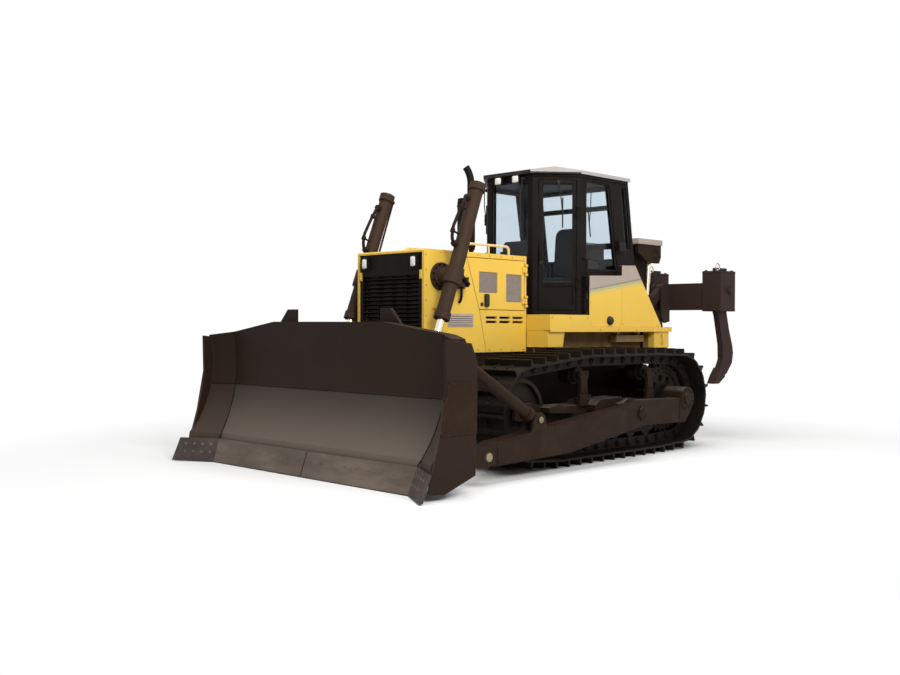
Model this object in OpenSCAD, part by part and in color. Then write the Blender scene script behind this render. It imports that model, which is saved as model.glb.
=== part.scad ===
// Crawler bulldozer with a semi-U blade on outside push arms and a three-shank rear ripper.
// Millimetres, +X forward, +Y to the machine's left, +Z up, ground at z = 0.
// Inside the modules x is measured from the sprocket axle; placed() moves it to the middle of the length.

/* [Undercarriage] */
// Distance between the centre lines of the two tracks
track_gauge = 2000; // [1960:10:2060]
// Width of a track shoe
shoe_w = 610; // [560:10:640]
// Sprocket axle to idler axle
wheelbase = 2640; // [2560:20:2760]
// Radius of the sprocket where the chain lies on it
sprocket_r = 385; // [370:5:395]
// Radius of the idler's tread
idler_r = 345; // [330:5:355]
// Height of a grouser bar above its shoe
grouser_h = 65; // [50:5:80]
// Shoes in one track
shoe_count = 41; // [39:1:43]
// Bottom rollers on each side
roller_count = 7; // [5:1:7]
// Radius of a bottom roller's tread
roller_r = 100; // [90:5:105]

/* [Blade] */
// Width over the end bits
blade_w = 3750; // [3650:10:3900]
// Height of the middle of the blade
blade_h = 1460; // [1400:10:1540]
// Sprocket axle to the cutting edge
edge_reach = 4510; // [4490:5:4530]
// Gap between the cutting edge and the ground
blade_gap = 10; // [5:5:40]
// Forward angle of the blade's wings
wing_angle = 32; // [24:1:34]
// Width of a push arm
arm_w = 150; // [130:5:170]

/* [Body] */
// Width of the engine hood
hood_w = 1000; // [940:10:1020]
// Height of the hood's top above the ground
hood_top = 2180; // [2160:10:2260]
// Sprocket axle to the front of the hood
hood_front = 3390; // [3360:10:3420]
// Width over the deck
deck_w = 1660; // [1640:10:1720]
// Width of the cab
cab_w = 1430; // [1400:10:1440]
// Width of the cab's front wall
cab_front_w = 680; // [640:10:720]
// Height of the roof's top above the ground
roof_top = 3205; // [3180:5:3260]
// Thickness of the cab's walls and posts
cab_wall = 70; // [60:5:80]

/* [Ripper] */
// Length of the ripper beam across the machine
beam_w = 2230; // [2140:10:2280]
// Height of the shank tips above the ground
shank_tip = 705; // [650:5:760]

/* [Hidden] */
$fn = 64;
black = [0.08, 0.08, 0.08];
yellow = [0.90, 0.70, 0.16];
brown = [0.24, 0.20, 0.17];
steel = [0.62, 0.61, 0.60];
pale = [0.76, 0.75, 0.73];
pane = [0.70, 0.80, 0.84, 0.5];

// Running clearance between a pin and its bore, and between faces that only rest on each other
fit = 0.3;

// Side view points of the joints
arm_pivot = [1170, 500];
arm_front = [3627, 257];
brace_low = [2860, 540];
brace_high = [3860, blade_h - 340];
lift_pivot = [3168, 1914];
rod_eye = [3666, 606];
ripper_low = [-290, 961];
ripper_high = ripper_low + [0, 340];
link_len = 1000;
link_angle = 37;
link_dir = [-cos(link_angle), sin(link_angle)];
beam_low = ripper_low + link_len * link_dir;
beam_high = ripper_high + link_len * link_dir;
jack_low = ripper_low + 240 * link_dir;
jack_high = [-590, 2330];

ripper_rear = 1656;
// The blade folds forward at its wings on this upright line
fold_x = edge_reach - 188;
fold_y = blade_w * 0.408;
join_y = fold_y - (edge_reach - fold_x) * tan(wing_angle / 2);
blade_reach = edge_reach + (blade_w / 2 - join_y) * tan(wing_angle);
origin_x = -(blade_reach - ripper_rear) / 2;

// Track heights
shoe_t = 20;
link_h = 105;
chain_h = grouser_h + shoe_t + link_h;
sprocket_z = 595;
idler_z = chain_h + idler_r + 30;
roller_z = chain_h + roller_r;
roller_first = 470;
roller_last = wheelbase - 420;
carrier_r = 85;
carrier_z = chain_h + 725;
carrier_x = [490, wheelbase - 920];
// The chain's two rails, and half the width of the wheels that run on them
rail_y = 85;
rail_w = 50;
wheel_half = 112;
track_y = track_gauge / 2;
track_out = track_y + shoe_w / 2;
beam_out = track_out + 60;
arm_in = track_out + 85;
arm_out = arm_in + arm_w;
arm_y = arm_in + arm_w / 2;

// Levels of the body
hood_low = 1150;
frame_top = 1360;
deck_top = 1420;
cab_bottom = 1550;
cab_top = roof_top - 80;

module placed() {
    translate([origin_x, 0, 0]) children();
}

module both() {
    children();
    mirror([0, 1, 0]) children();
}

// The left one (side 1) or the right one (side -1) of a pair
module on_side(side) {
    mirror([0, side > 0 ? 0 : 1, 0]) children();
}

// A plate cut from a side view outline, from y0 to y1
module plate(outline, y0, y1) {
    translate([0, y1, 0]) rotate([90, 0, 0]) linear_extrude(height = y1 - y0) polygon(outline);
}

// A plate cut from a front view outline, from x0 to x1
module wall(outline, x0, x1) {
    translate([x0, 0, 0]) rotate([90, 0, 90]) linear_extrude(height = x1 - x0) polygon(outline);
}

// A round bar across the machine at a side view point
module pin(p, r, y0, y1) {
    translate([p[0], y1, p[1]]) rotate([90, 0, 0]) cylinder(r = r, h = y1 - y0);
}

// A round bar lying in the side view plane y, from a along the direction to b, between two distances
module bar(a, b, r, y, d0, d1) {
    tilt = atan2(b[0] - a[0], b[1] - a[1]);
    translate([a[0], y, a[1]]) rotate([0, tilt, 0]) translate([0, 0, d0]) cylinder(r = r, h = d1 - d0);
}

module block(x0, x1, y0, y1, z0, z1) {
    translate([x0, y0, z0]) cube([x1 - x0, y1 - y0, z1 - z0]);
}

// The outline's points moved to an origin
function moved(origin, outline) = [for (q = outline) origin + q];

// The belt line that the chain's middle follows, as circles in order round the loop
belt = [
    [0, sprocket_z, sprocket_r + link_h / 2],
    [roller_first, roller_z, roller_r + link_h / 2],
    [roller_last, roller_z, roller_r + link_h / 2],
    [wheelbase, idler_z, idler_r + link_h / 2],
    [carrier_x[1], carrier_z, carrier_r + link_h / 2],
    [carrier_x[0], carrier_z, carrier_r + link_h / 2]
];
belt_n = len(belt);
function ring(i) = belt[i % belt_n];
function spot(i) = [ring(i)[0], ring(i)[1]];
function unit(a) = [cos(a), sin(a)];
function reach(i) = norm(spot(i + 1) - spot(i));
function heading(i) = atan2(spot(i + 1)[1] - spot(i)[1], spot(i + 1)[0] - spot(i)[0]);
function normal(i) = heading(i) - acos((ring(i)[2] - ring(i + 1)[2]) / reach(i));
function run(i) = sqrt(pow(reach(i), 2) - pow(ring(i)[2] - ring(i + 1)[2], 2));
function wrap(a) = a < 0 ? wrap(a + 360) : a >= 360 ? wrap(a - 360) : a;
function turn(i) = wrap(normal(i + 1) - normal(i));
function bend(i) = ring(i + 1)[2] * turn(i) * PI / 180;
function belt_len(i = 0) = i == belt_n ? 0 : run(i) + bend(i) + belt_len(i + 1);
// Point on the belt at the distance s, its outward angle, and the bend's radius there (0 on a straight)
function belt_at(s, i = 0) =
    s <= run(i) ? [spot(i) + ring(i)[2] * unit(normal(i)) + s * unit(normal(i) + 90), normal(i), 0] :
    s <= run(i) + bend(i) ?
        let (a = normal(i) + (s - run(i)) / ring(i + 1)[2] * 180 / PI)
        [spot(i + 1) + ring(i + 1)[2] * unit(a), a, ring(i + 1)[2]] :
    belt_at(s - run(i) - bend(i), i + 1);
function off_belt(s, along, out) =
    let (b = belt_at(s)) b[0] + out * unit(b[1]) + along * unit(b[1] + 90);

loop = belt_len();
pitch = loop / shoe_count;
shoe_out = link_h / 2 + shoe_t;
shoe_side = pitch / 2 - 3;
// One shoe in its own frame: along the chain and outwards, with the grouser bar near its leading end
shoe_points = [
    [-shoe_side, shoe_out], [-shoe_side + 18, shoe_out + 6], [pitch / 2 - 62, shoe_out],
    [pitch / 2 - 52, shoe_out + grouser_h], [pitch / 2 - 34, shoe_out + grouser_h],
    [pitch / 2 - 26, shoe_out], [shoe_side, shoe_out]
];
// Shoe k stands at this distance round the loop; the first one is flat on the ground behind the first roller
function shoe_at(k) = (run(0) + bend(0) + (k + 0.25) * pitch) % loop;
shoe_line = [for (k = [0 : shoe_count - 1], q = shoe_points) off_belt(shoe_at(k), q[0], q[1])];
shoe_inside = [for (k = [0 : shoe_count - 1], q = [-shoe_side, shoe_side])
    off_belt(shoe_at(k), q, link_h / 2)];
link_outside = [for (k = [0 : 2 * shoe_count - 1]) off_belt(shoe_at(k / 2), 0, link_h / 2 + 4)];
// The rail's inner side is drawn with chords that lie outside the wheel they bend round
function chord_rise(r) = r == 0 ? 0 : (r - link_h / 2) * (1 / cos(pitch / r * 45 / PI) - 1);
link_inside = [for (k = [0 : 2 * shoe_count - 1])
    let (s = shoe_at(k / 2)) off_belt(s, 0, chord_rise(belt_at(s)[2]) - link_h / 2)];

module track_loop() {
    difference() {
        plate(shoe_line, track_y - shoe_w / 2, track_out);
        plate(shoe_inside, track_y - shoe_w / 2 - 1, track_out + 1);
    }
    for (side = [-1, 1]) {
        y = track_y + side * rail_y;
        difference() {
            plate(link_outside, y - rail_w / 2, y + rail_w / 2);
            plate(link_inside, y - rail_w / 2 - 1, y + rail_w / 2 + 1);
        }
    }
}

module tracks() {
    color(black) both() track_loop();
}

module sprocket() {
    axle = [0, sprocket_z];
    half = 45;
    teeth = 27;
    step = 360 / teeth;
    hub_r = 150;
    outline = [for (i = [0 : teeth - 1], q = [[-0.36, -14], [-0.13, 42], [0.13, 42], [0.36, -14]])
        axle + (sprocket_r + q[1]) * unit((i + q[0]) * step)];
    difference() {
        plate(outline, track_y - half, track_y + half);
        pin(axle, sprocket_r - 85, track_y + half - 20, track_y + half + 1);
        pin(axle, hub_r, track_y - half - 1, track_y + half + 1);
        for (i = [0 : 8])
            pin(axle + 1.5 * hub_r * unit(i * 40), 42, track_y - half - 1, track_y + half + 1);
    }
    pin(axle, hub_r, track_y - 110, track_y + 118);
}

module sprockets() {
    color(brown) both() sprocket();
}

module idler() {
    axle = [wheelbase, idler_z];
    difference() {
        union() {
            pin(axle, idler_r - 3, track_y - wheel_half, track_y + wheel_half);
            pin(axle, idler_r + 22, track_y - 50, track_y + 50);
        }
        for (s = [-1, 1]) pin(axle, idler_r - 45, track_y + s * 92 - 30, track_y + s * 92 + 30);
    }
    pin(axle, 95, track_y - 118, track_y + 118);
}

module idlers() {
    color(brown) both() idler();
}

module track_rollers() {
    gap = (roller_last - roller_first) / (roller_count - 1);
    color(black) both() for (i = [0 : roller_count - 1]) {
        axle = [roller_first + i * gap, roller_z];
        pin(axle, roller_r - (i == 0 || i == roller_count - 1 ? 4 : fit), track_y - wheel_half,
            track_y + wheel_half);
        pin(axle, roller_r + 16, track_y - 50, track_y + 50);
        pin(axle, 42, track_y - 129, track_y + 129);
    }
}

module carrier_rollers() {
    color(black) both() for (x = carrier_x) {
        axle = [x, carrier_z];
        pin(axle, carrier_r - 4, track_y - wheel_half, track_y + wheel_half);
        pin(axle, carrier_r + 14, track_y - 50, track_y + 50);
        pin(axle, 34, track_y - wheel_half, track_y + 150 - fit);
    }
}

// Sloped mud covers on the track frame's outer ledge, as side view outlines
frame_top_z = 600;
front_cover = moved([wheelbase, 0], [[-750, 530], [-740, 545], [-370, 640], [-230, 612], [-230, 560]]);
middle_cover = [[1100, 540], [1170, 665], [1560, 655], [1640, 600], [1640, 540]];

module track_frame() {
    difference() {
        union() {
            // Main box, with plates down to the roller axles
            block(450, wheelbase - 480, track_y - 130, track_y + 130, 410, frame_top_z);
            for (s = [-1, 1]) plate([[360, 300], [420, 250], [wheelbase - 380, 250], [wheelbase - 320, 300],
                [wheelbase - 420, frame_top_z], [400, frame_top_z]], track_y + s * 145 - 15,
                track_y + s * 145 + 15);
            // Fork that carries the idler
            for (s = [-1, 1]) plate(moved([wheelbase, 0], [[-480, 430], [-420, frame_top_z], [-100, 660],
                [130, 650], [150, 500], [-60, 470]]), track_y + s * 140 - 21, track_y + s * 140 + 21);
            // Outer beam to the sprocket's outboard bearing, with the bearing's cover
            plate([[-70, 440], [40, 330], [1180, 350], [1290, 430], [1290, frame_top_z], [1180, 625],
                [60, 605], [-60, 605], [-105, 560], [-105, 500]], track_out - 110, beam_out);
            block(420, 1200, track_y + 120, track_out - 105, 420, 590);
            pin([0, sprocket_z], 135, track_y + 118 + fit, beam_out + 8);
            pin([0, sprocket_z], 70, beam_out + 7, beam_out + 20);
            // Carrier roller posts
            for (x = carrier_x) plate([[x - 70, 590], [x + 70, 590], [x + 50, carrier_z - 60],
                [x + 75, carrier_z - 10], [x + 75, carrier_z + 40], [x - 75, carrier_z + 40],
                [x - 75, carrier_z - 10], [x - 50, carrier_z - 60]], track_y + 150, track_y + 190);
            // Push arm trunnion
            pin(arm_pivot, 150, beam_out - 30, beam_out + 14);
            pin(arm_pivot, 60, beam_out, arm_out + 12);
            pin(arm_pivot, 74, arm_out + 8, arm_out + 22);
            // Mud covers, and the recoil spring's cover
            for (outline = [front_cover, middle_cover]) plate(outline, track_y + 155, track_out - 25);
            plate([[900, 595], [960, 650], [1600, 650], [1660, 595]], track_y - 105, track_y + 105);
        }
        pin([wheelbase, idler_z], 45, track_y - 170, track_y + 170);
    }
    pin([wheelbase, idler_z], 45, track_y - 165, track_y - 119);
    pin([wheelbase, idler_z], 45, track_y + 119, track_y + 165);
}

module track_frames() {
    color(brown) both() track_frame();
}

// Front pull hook below the radiator: its bore, and the plate's thickness
hook_x = 3310;
hook_z = [700, 790];
hook_r = 32;
case_y = 470;
case_front = 3200;
hood_rear = 1850;

module main_frame() {
    color(brown) {
        plate([[-170, 640], [-60, 440], [2750, 430], [case_front, 640], [case_front, hood_low - fit],
            [hood_rear - 4, hood_low - fit], [hood_rear - 4, frame_top], [-170, frame_top]],
            -case_y, case_y);
        // Final drives, track frame pivots and the front cross bar, each set on the case's side
        both() {
            block(-170, hood_rear - 4, case_y + fit, 600, 1080, frame_top);
            pin([0, sprocket_z], 320, case_y + fit, 700);
            pin([0, sprocket_z], 270, 690, track_y - 110 - fit);
            pin([650, 500], 85, case_y + fit, track_y - 160 - fit);
            block(2020, 2160, case_y + fit, track_y - 160 - fit, 500, 590);
        }
        difference() {
            block(case_front - 10, hook_x + 70, -70, 70, hook_z[0], hook_z[1]);
            translate([hook_x, 0, hook_z[0] - 10]) cylinder(r = hook_r, h = hook_z[1] - hook_z[0] + 20);
        }
    }
}

module engine() {
    color(steel) {
        block(1950, 2980, -310, 310, hood_low, hood_top - 280);
        block(hood_front - 270, hood_front - 60, -400, 400, hood_low, hood_top - 120);
    }
}

hood_y = hood_w / 2;
hood_wall = 30;
// Engine door: its hinge line is at the rear and its front edge slants
door_rear = hood_rear + 30;
door_low = 1590;
door_high = hood_top - 50;
door_slant = [2598, 2793];
door_gap = 6;
door_cut = [[door_rear, door_low], [door_slant[0], door_low], [door_slant[1], door_high],
    [door_rear, door_high]];
door_leaf = [door_cut[0] + [door_gap, door_gap], door_cut[1] + [-door_gap, door_gap],
    door_cut[2] + [-door_gap - 2, -door_gap], door_cut[3] + [door_gap, -door_gap]];
door_hinges = [door_low + 100, door_high - 100];
vent_slots = [for (x = [1905, 2115, 2325], z = [1455, 1500]) [x, z]];

// The hood's left side as a wall: x forward, y out of it, z up
module on_hood() {
    translate([0, hood_y, 0]) children();
}

module hood() {
    color(yellow) both() on_hood() for (z = door_hinges) hinge_pin(door_rear - hinge_in, z, -1);
    color(yellow) difference() {
        plate([[hood_rear, hood_low], [hood_front, hood_low], [hood_front, hood_top - 12],
            [hood_front - 12, hood_top], [hood_rear, hood_top]], -hood_y, hood_y);
        block(hood_rear + hood_wall, hood_front + 1, -hood_y + hood_wall, hood_y - hood_wall, hood_low - 1,
            hood_top - hood_wall);
        plate(door_cut, -hood_y - 1, hood_y + 1);
        for (v = vent_slots) block(v[0], v[0] + 170, -hood_y - 1, hood_y + 1, v[1], v[1] + 24);
        translate([stack_x, stack_y, hood_top - 40]) cylinder(r = 70, h = 60);
        // Seam that runs on from the door's slanted edge down the side
        both() on_hood() plate([[2594, door_low + 1], [2600, door_low + 1], [2490, hood_low - 1],
            [2484, hood_low - 1]], -6, 1);
    }
}

screens = [[1930, 2180, 1680, 1975], [2320, 2600, 1770, 1985]];
module engine_door(side) {
    color(yellow) on_side(side) on_hood() {
        difference() {
            plate(door_leaf, -hood_wall, 0);
            for (w = screens) block(w[0], w[1], -12, 1, w[2], w[3]);
        }
        for (z = door_hinges) hinge_knuckle(door_rear - hinge_in, z, -1);
        block(2472, 2518, -1, 24, 1630, 1750);
    }
}

module engine_door_left() {
    engine_door(1);
}

module engine_door_right() {
    engine_door(-1);
}

module grille() {
    slats = 17;
    side = hood_y - hood_wall - fit;
    opening = [hood_y - 80, hood_low + 50, hood_top - 255];
    step = (opening[2] - opening[1] - 5) / slats;
    color(black) {
        difference() {
            block(hood_front - 50, hood_front - 10, -side, side, hood_low + 5, hood_top - hood_wall - fit);
            block(hood_front - 51, hood_front - 9, -opening[0], opening[0], opening[1], opening[2]);
        }
        for (i = [0 : slats - 1]) plate(moved([hood_front, opening[1] + 3 + i * step],
            [[-40, 0], [-15, 14], [-15, 22], [-40, 8]]), -opening[0] - 1, opening[0] + 1);
        for (y = [-210, 0, 210]) block(hood_front - 48, hood_front - 38, y - 8, y + 8, opening[1] - 5,
            opening[2] + 5);
    }
}

module headlamps() {
    mid = [365, hood_top - 120];
    color(black) both() {
        block(hood_front - 10, hood_front + 8, mid[0] - 55, mid[0] + 55, mid[1] - 70, mid[1] + 70);
        block(hood_front + 7, hood_front + 22, mid[0] - 42, mid[0] + 42, mid[1] - 57, mid[1] + 57);
    }
}

// A bent handrail on each side of the hood's top
module hood_rails() {
    y = hood_y - 35;
    feet = [2105, 2740];
    rise = 90;
    elbow = 45;
    $fn = 24;
    color(yellow) both() {
        for (x = feet) translate([x, y, hood_top]) cylinder(r = 13, h = rise - elbow + 4);
        translate([2420, y, hood_top]) cylinder(r = 11, h = rise);
        translate([feet[0] + elbow - 4, y, hood_top + rise]) rotate([0, 90, 0])
            cylinder(r = 13, h = feet[1] - feet[0] - 2 * elbow + 8);
        for (s = [0, 1]) translate([feet[s] + (1 - 2 * s) * elbow, y, hood_top + rise - elbow])
            rotate([90, s == 0 ? -90 : 0, 0]) rotate_extrude(angle = 90) translate([elbow, 0]) circle(r = 15);
    }
}

stack_x = 2480;
stack_y = 195;
module exhaust_stack() {
    muffler = [[0, 0], [62, 0], [95, 60], [95, 550], [89, 590], [0, 590]];
    pipe_r = 38;
    pipe_top = 755;
    offset = 34;
    bend_r = 300;
    color(brown) translate([stack_x, stack_y, 0]) {
        translate([0, 0, hood_top - 280]) cylinder(r = 55, h = 320);
        translate([0, 0, hood_top + 2]) rotate_extrude() polygon(muffler);
        // The tail pipe stands to the rear of the muffler's middle and bends forward to the right
        translate([-offset, offset, hood_top]) rotate([0, 0, 45]) {
            translate([0, 0, 580]) cylinder(r = pipe_r, h = pipe_top - 580);
            translate([0, -bend_r, pipe_top]) rotate([90, 0, 90]) rotate_extrude(angle = 35)
                translate([bend_r, 0]) circle(r = pipe_r);
        }
    }
}

deck_y = deck_w / 2;
skirt_y = [640, deck_y - 30];
module deck() {
    ledge_low = 1380;
    color(yellow) {
        block(-200, 1840, -deck_y, deck_y, frame_top + 2, deck_top);
        both() {
            block(-512, -199, 600, deck_y, frame_top + 2, deck_top);
            block(1130, hood_rear - 2, hood_y + 6, deck_y, ledge_low, cab_bottom);
            // Rear skirt, the panel under the front of the ledge, and the tool box between them
            block(-488, -170, skirt_y[0], skirt_y[1], 1170, frame_top + 3);
            plate([[hood_rear - 3, frame_top + 5], [1560, frame_top + 5], [1590, 1200],
                [hood_rear - 3, 1200]], skirt_y[1] - 50, skirt_y[1]);
            block(-95, 470, 612, 705, 1242, 1322);
            for (x = [-40, 375]) block(x, x + 40, 630, 680, 1320, frame_top + 3);
        }
        block(-200, 1555, -hood_y - 7, hood_y + 7, deck_top - 1, cab_bottom);
    }
}

cab_y = cab_w / 2;
cab_front_y = cab_front_w / 2;
cab_front = 1560;
side_x = 1165;
wall_dir = atan2(cab_y - cab_front_y, side_x - cab_front);
wall_len = norm([cab_y - cab_front_y, side_x - cab_front]);
wall_cos = cos(wall_dir - 90);
wall_sin = sin(wall_dir - 90);
// Where the offset of the angled wall by t meets the front wall and the side wall
function wall_line(t) = wall_cos * cab_front + wall_sin * cab_front_y - t;
function front_corner(t) = [cab_front - t, (wall_line(t) - wall_cos * (cab_front - t)) / wall_sin];
function side_corner(t) = [(wall_line(t) - wall_sin * (cab_y - t)) / wall_cos, cab_y - t];
function mirrored(p) = [p[0], -p[1]];
function plan(t) = [front_corner(t), side_corner(t), [0, cab_y - t], [0, t - cab_y],
    mirrored(side_corner(t)), mirrored(front_corner(t))];
// The rear wall is upright below the waist and leans forward above it
waist = 2150;
rear_low = 126;
rear_high = 275;
function rear_at(z) = rear_low + max(0, z - waist) / (cab_top - waist) * (rear_high - rear_low);

module cab_volume(t) {
    intersection() {
        translate([0, 0, cab_bottom + t / 2]) linear_extrude(height = cab_top - cab_bottom - t)
            polygon(plan(t));
        plate([[rear_low + t, cab_bottom], [cab_front + 10, cab_bottom], [cab_front + 10, cab_top],
            [rear_high + t, cab_top], [rear_low + t, waist]], -cab_y, cab_y);
    }
}

// Works in the angled wall's own frame: x along it from the front corner, y out of it, z up
module on_wall() {
    translate([cab_front, cab_front_y, 0]) rotate([0, 0, wall_dir]) mirror([0, 1, 0]) children();
}

door_x0 = 62;
door_x1 = wall_len - 52;
door_z0 = 1600;
door_z1 = cab_top - 65;
cab_hinges = [1900, 2700];
window_top = cab_top - 75;
window_low = 2070;
// Side window, and the narrow quarter window behind the rear post, both leaning with the rear wall
side_window = [[465, window_low], [side_x - 95, window_low], [side_x - 95, window_top], [640, window_top]];
quarter_low = 2330;
quarter_window = [[rear_at(quarter_low) + 50, quarter_low], [rear_at(quarter_low) + 160, quarter_low],
    [rear_at(window_top) + 160, window_top], [rear_at(window_top) + 50, window_top]];
front_glass_low = 2190;
front_glass_y = cab_front_y - 70;
rear_glass_low = 2230;
rear_glass_y = cab_y - 130;

// An upright door hinge at x on a wall's outer face: the pin and its two ears, or the leaf's knuckle.
// way is 1 where the post lies towards +x of the hinge line and -1 where it lies towards -x
hinge_in = 3;
hinge_out = 17;
hinge_r = 8;
module hinge_pin(x, z, way) {
    translate([x, hinge_out, z - 62]) cylinder(r = hinge_r, h = 124, $fn = 24);
    for (s = [-1, 1]) {
        low = z + s * 49 - 13;
        translate([x, hinge_out, low]) cylinder(r = 15, h = 26, $fn = 24);
        block(way > 0 ? x + 5 : x - 38, way > 0 ? x + 38 : x - 5, -2, 14, low, low + 26);
    }
}

module hinge_knuckle(x, z, way) {
    difference() {
        union() {
            translate([x, hinge_out, z - 30]) cylinder(r = 15, h = 60, $fn = 24);
            block(way > 0 ? x - 50 : x + 9, way > 0 ? x - 9 : x + 50, -2, 14, z - 30, z + 30);
            block(way > 0 ? x - 20 : x + 5, way > 0 ? x - 5 : x + 20, 6, 20, z - 30, z + 30);
        }
        translate([x, hinge_out, z - 31]) cylinder(r = hinge_r + fit, h = 62, $fn = 24);
    }
}

module cab_frame() {
    color(black) difference() {
        cab_volume(0);
        cab_volume(cab_wall);
        block(cab_front - 100, cab_front + 20, -front_glass_y, front_glass_y, front_glass_low, window_top);
        for (window = [side_window, quarter_window]) plate(window, -cab_y - 1, cab_y + 1);
        block(0, rear_high + cab_wall, -rear_glass_y, rear_glass_y, rear_glass_low, window_top);
        both() on_wall() block(door_x0, door_x1, -cab_wall - 60, 40, door_z0, door_z1);
    }
    color(black) both() {
        on_wall() for (z = cab_hinges) hinge_pin(door_x1 + hinge_in, z, 1);
        // Box on the rear post
        block(395, 525, cab_y - 1, cab_y + 60, 2285, 2415);
    }
}

// A low crowned roof panel: its edge is 40 high and its top slopes up from there
module cab_roof() {
    edge = cab_top + 40;
    out = cab_y + 10;
    ends = [rear_high - 40, cab_front + 60];
    slope = 220;
    half_plan = [[ends[1], cab_front_y + 15], [side_x + 20, out], [ends[0], out]];
    color(pale) intersection() {
        translate([0, 0, cab_top + fit]) linear_extrude(height = 90)
            polygon([for (i = [0 : 5]) i < 3 ? half_plan[i] : mirrored(half_plan[5 - i])]);
        plate([[ends[0] - 1, cab_top], [ends[1] + 1, cab_top], [ends[1] + 1, edge],
            [ends[1] - slope, roof_top], [ends[0] + slope, roof_top], [ends[0] - 1, edge]], -cab_w, cab_w);
        wall([[-out - 1, cab_top], [out + 1, cab_top], [out + 1, edge], [out - slope, roof_top + 1],
            [slope - out, roof_top + 1], [-out - 1, edge]], 0, 2 * cab_front);
    }
}

glass_in = [30, 38];
module cab_glass() {
    color(pane) {
        block(cab_front - glass_in[1], cab_front - glass_in[0], fit - front_glass_y, front_glass_y - fit,
            front_glass_low + fit, window_top - fit);
        both() for (window = [side_window, quarter_window])
            plate(window, cab_y - glass_in[1], cab_y - glass_in[0]);
        plate([[rear_at(rear_glass_low) + glass_in[0], rear_glass_low + fit],
            [rear_at(rear_glass_low) + glass_in[1], rear_glass_low + fit],
            [rear_at(window_top) + glass_in[1], window_top - fit],
            [rear_at(window_top) + glass_in[0], window_top - fit]], fit - rear_glass_y, rear_glass_y - fit);
    }
}

// Cab door: a rim round its glass, and a closed panel below it
leaf_x = [door_x0 + 6, door_x1 - 6];
leaf_z = [door_z0 + 6, door_z1 - 6];
pane_x = [leaf_x[0] + 45, leaf_x[1] - 32];
pane_z = [1915, leaf_z[1] - 40];
module door(side) {
    color(black) on_side(side) on_wall() {
        difference() {
            block(leaf_x[0], leaf_x[1], -cab_wall, 0, leaf_z[0], leaf_z[1]);
            block(pane_x[0], pane_x[1], -cab_wall - 1, 1, pane_z[0], pane_z[1]);
            // The lower panel is pressed in
            block(pane_x[0], pane_x[1], -12, 1, leaf_z[0] + 50, pane_z[0] - 40);
        }
        for (z = cab_hinges) hinge_knuckle(door_x1 + hinge_in, z, 1);
        block(leaf_x[0] + 8, leaf_x[0] + 36, -1, 30, 2150, 2280);
    }
}

module door_pane(side) {
    color(pane) on_side(side) on_wall() block(pane_x[0] + fit, pane_x[1] - fit, -glass_in[1], -glass_in[0],
        pane_z[0] + fit, pane_z[1] - fit);
}

module cab_door_left() {
    door(1);
}

module cab_door_right() {
    door(-1);
}

module door_glass_left() {
    door_pane(1);
}

module door_glass_right() {
    door_pane(-1);
}

cab_floor = cab_bottom + cab_wall / 2;
module seat() {
    cushion = [430, 930, cab_floor + 279, cab_floor + 420];
    color(black) {
        block(480, 800, -200, 200, cab_floor, cushion[2] + 1);
        block(cushion[0], cushion[1], -260, 260, cushion[2], cushion[3]);
        plate(moved([cushion[0], cushion[3]], [[0, -1], [130, -1], [40, 630], [-50, 630]]), -250, 250);
    }
}

module console() {
    lever = [880, 400];
    color(black) {
        both() {
            block(480, 950, lever[1] - 70, lever[1] + 70, cab_floor, cab_floor + 560);
            translate([lever[0], lever[1], cab_floor + 559]) cylinder(r = 14, h = 160, $fn = 24);
        }
        block(1290, 1450, -240, 240, cab_floor, cab_floor + 700);
    }
}

// Work lamps under the roof's front edge and on its rear edge
module roof_lamps() {
    color(black) both() {
        block(cab_front + fit, cab_front + 55, 75, 185, cab_top - 95, cab_top - 2);
        block(rear_high - 100, rear_high - 40 - fit, 240, 370, cab_top - 10, cab_top + 38);
        block(rear_high - 60, rear_high - 40 - fit, 270, 340, cab_top - 60, cab_top - 9);
    }
}

tank_out = 800;
tank_rear = -317;
module side_tanks() {
    step_x = 500;
    lean = [[230, 2140], [tank_rear, 1440]];
    color(yellow) {
        both() plate([[1118, deck_top], [1118, 1990], [step_x, 2012], [step_x, 2130], lean[0], lean[1],
            [tank_rear, deck_top]], cab_y + 5, tank_out);
        // Tank behind the cab, under the slanted line of the sides
        plate([[-190, cab_bottom], [115, cab_bottom], [115, 1935]], -cab_y - 6, cab_y + 6);
    }
}

cap_x = [-700, -200];
cap_z = 2500;
module ripper_tower() {
    back = -170 - fit;
    tall_plate = [[-199, 870], [-300, 870], [-375, 930], [-375, 1060], [-470, 1300], [-560, 1900],
        [-660, 2200], [cap_x[0], 2290], [cap_x[0], cap_z - 25], [cap_x[1], cap_z - 25], [cap_x[1], 2330],
        [-400, 2230], [-330, 1800], [-240, 1500], [-199, 1355]];
    color(brown) {
        // Base plate on the rear of the main case, with cheeks for the link pins
        block(-200, back, -455, 455, 700, 1355);
        block(-200, back, -545, 545, 960, 1354);
        both() {
            plate([[-199, 870], [-300, 870], [-375, 930], [-375, 1330], [-320, 1353], [-199, 1353]],
                205, 235);
            plate(tall_plate, 335, 365);
            pin(ripper_low, 45, 206, 364);
            pin(ripper_high, 45, 206, 364);
            // Head that holds the cylinder's rod eye
            plate([[cap_x[0], 2290], [cap_x[0], cap_z - 25], [cap_x[1], cap_z - 25], [cap_x[1], 2330],
                [-430, 2215], [-660, 2215]], 505, 545);
            block(cap_x[0] - 10, cap_x[1] + 10, 325, 555, cap_z - 30, cap_z);
            pin(jack_high, 32, 340, 540);
        }
        block(-330, -270, -540, 540, cap_z - 100, cap_z - 26);
    }
}

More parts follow.
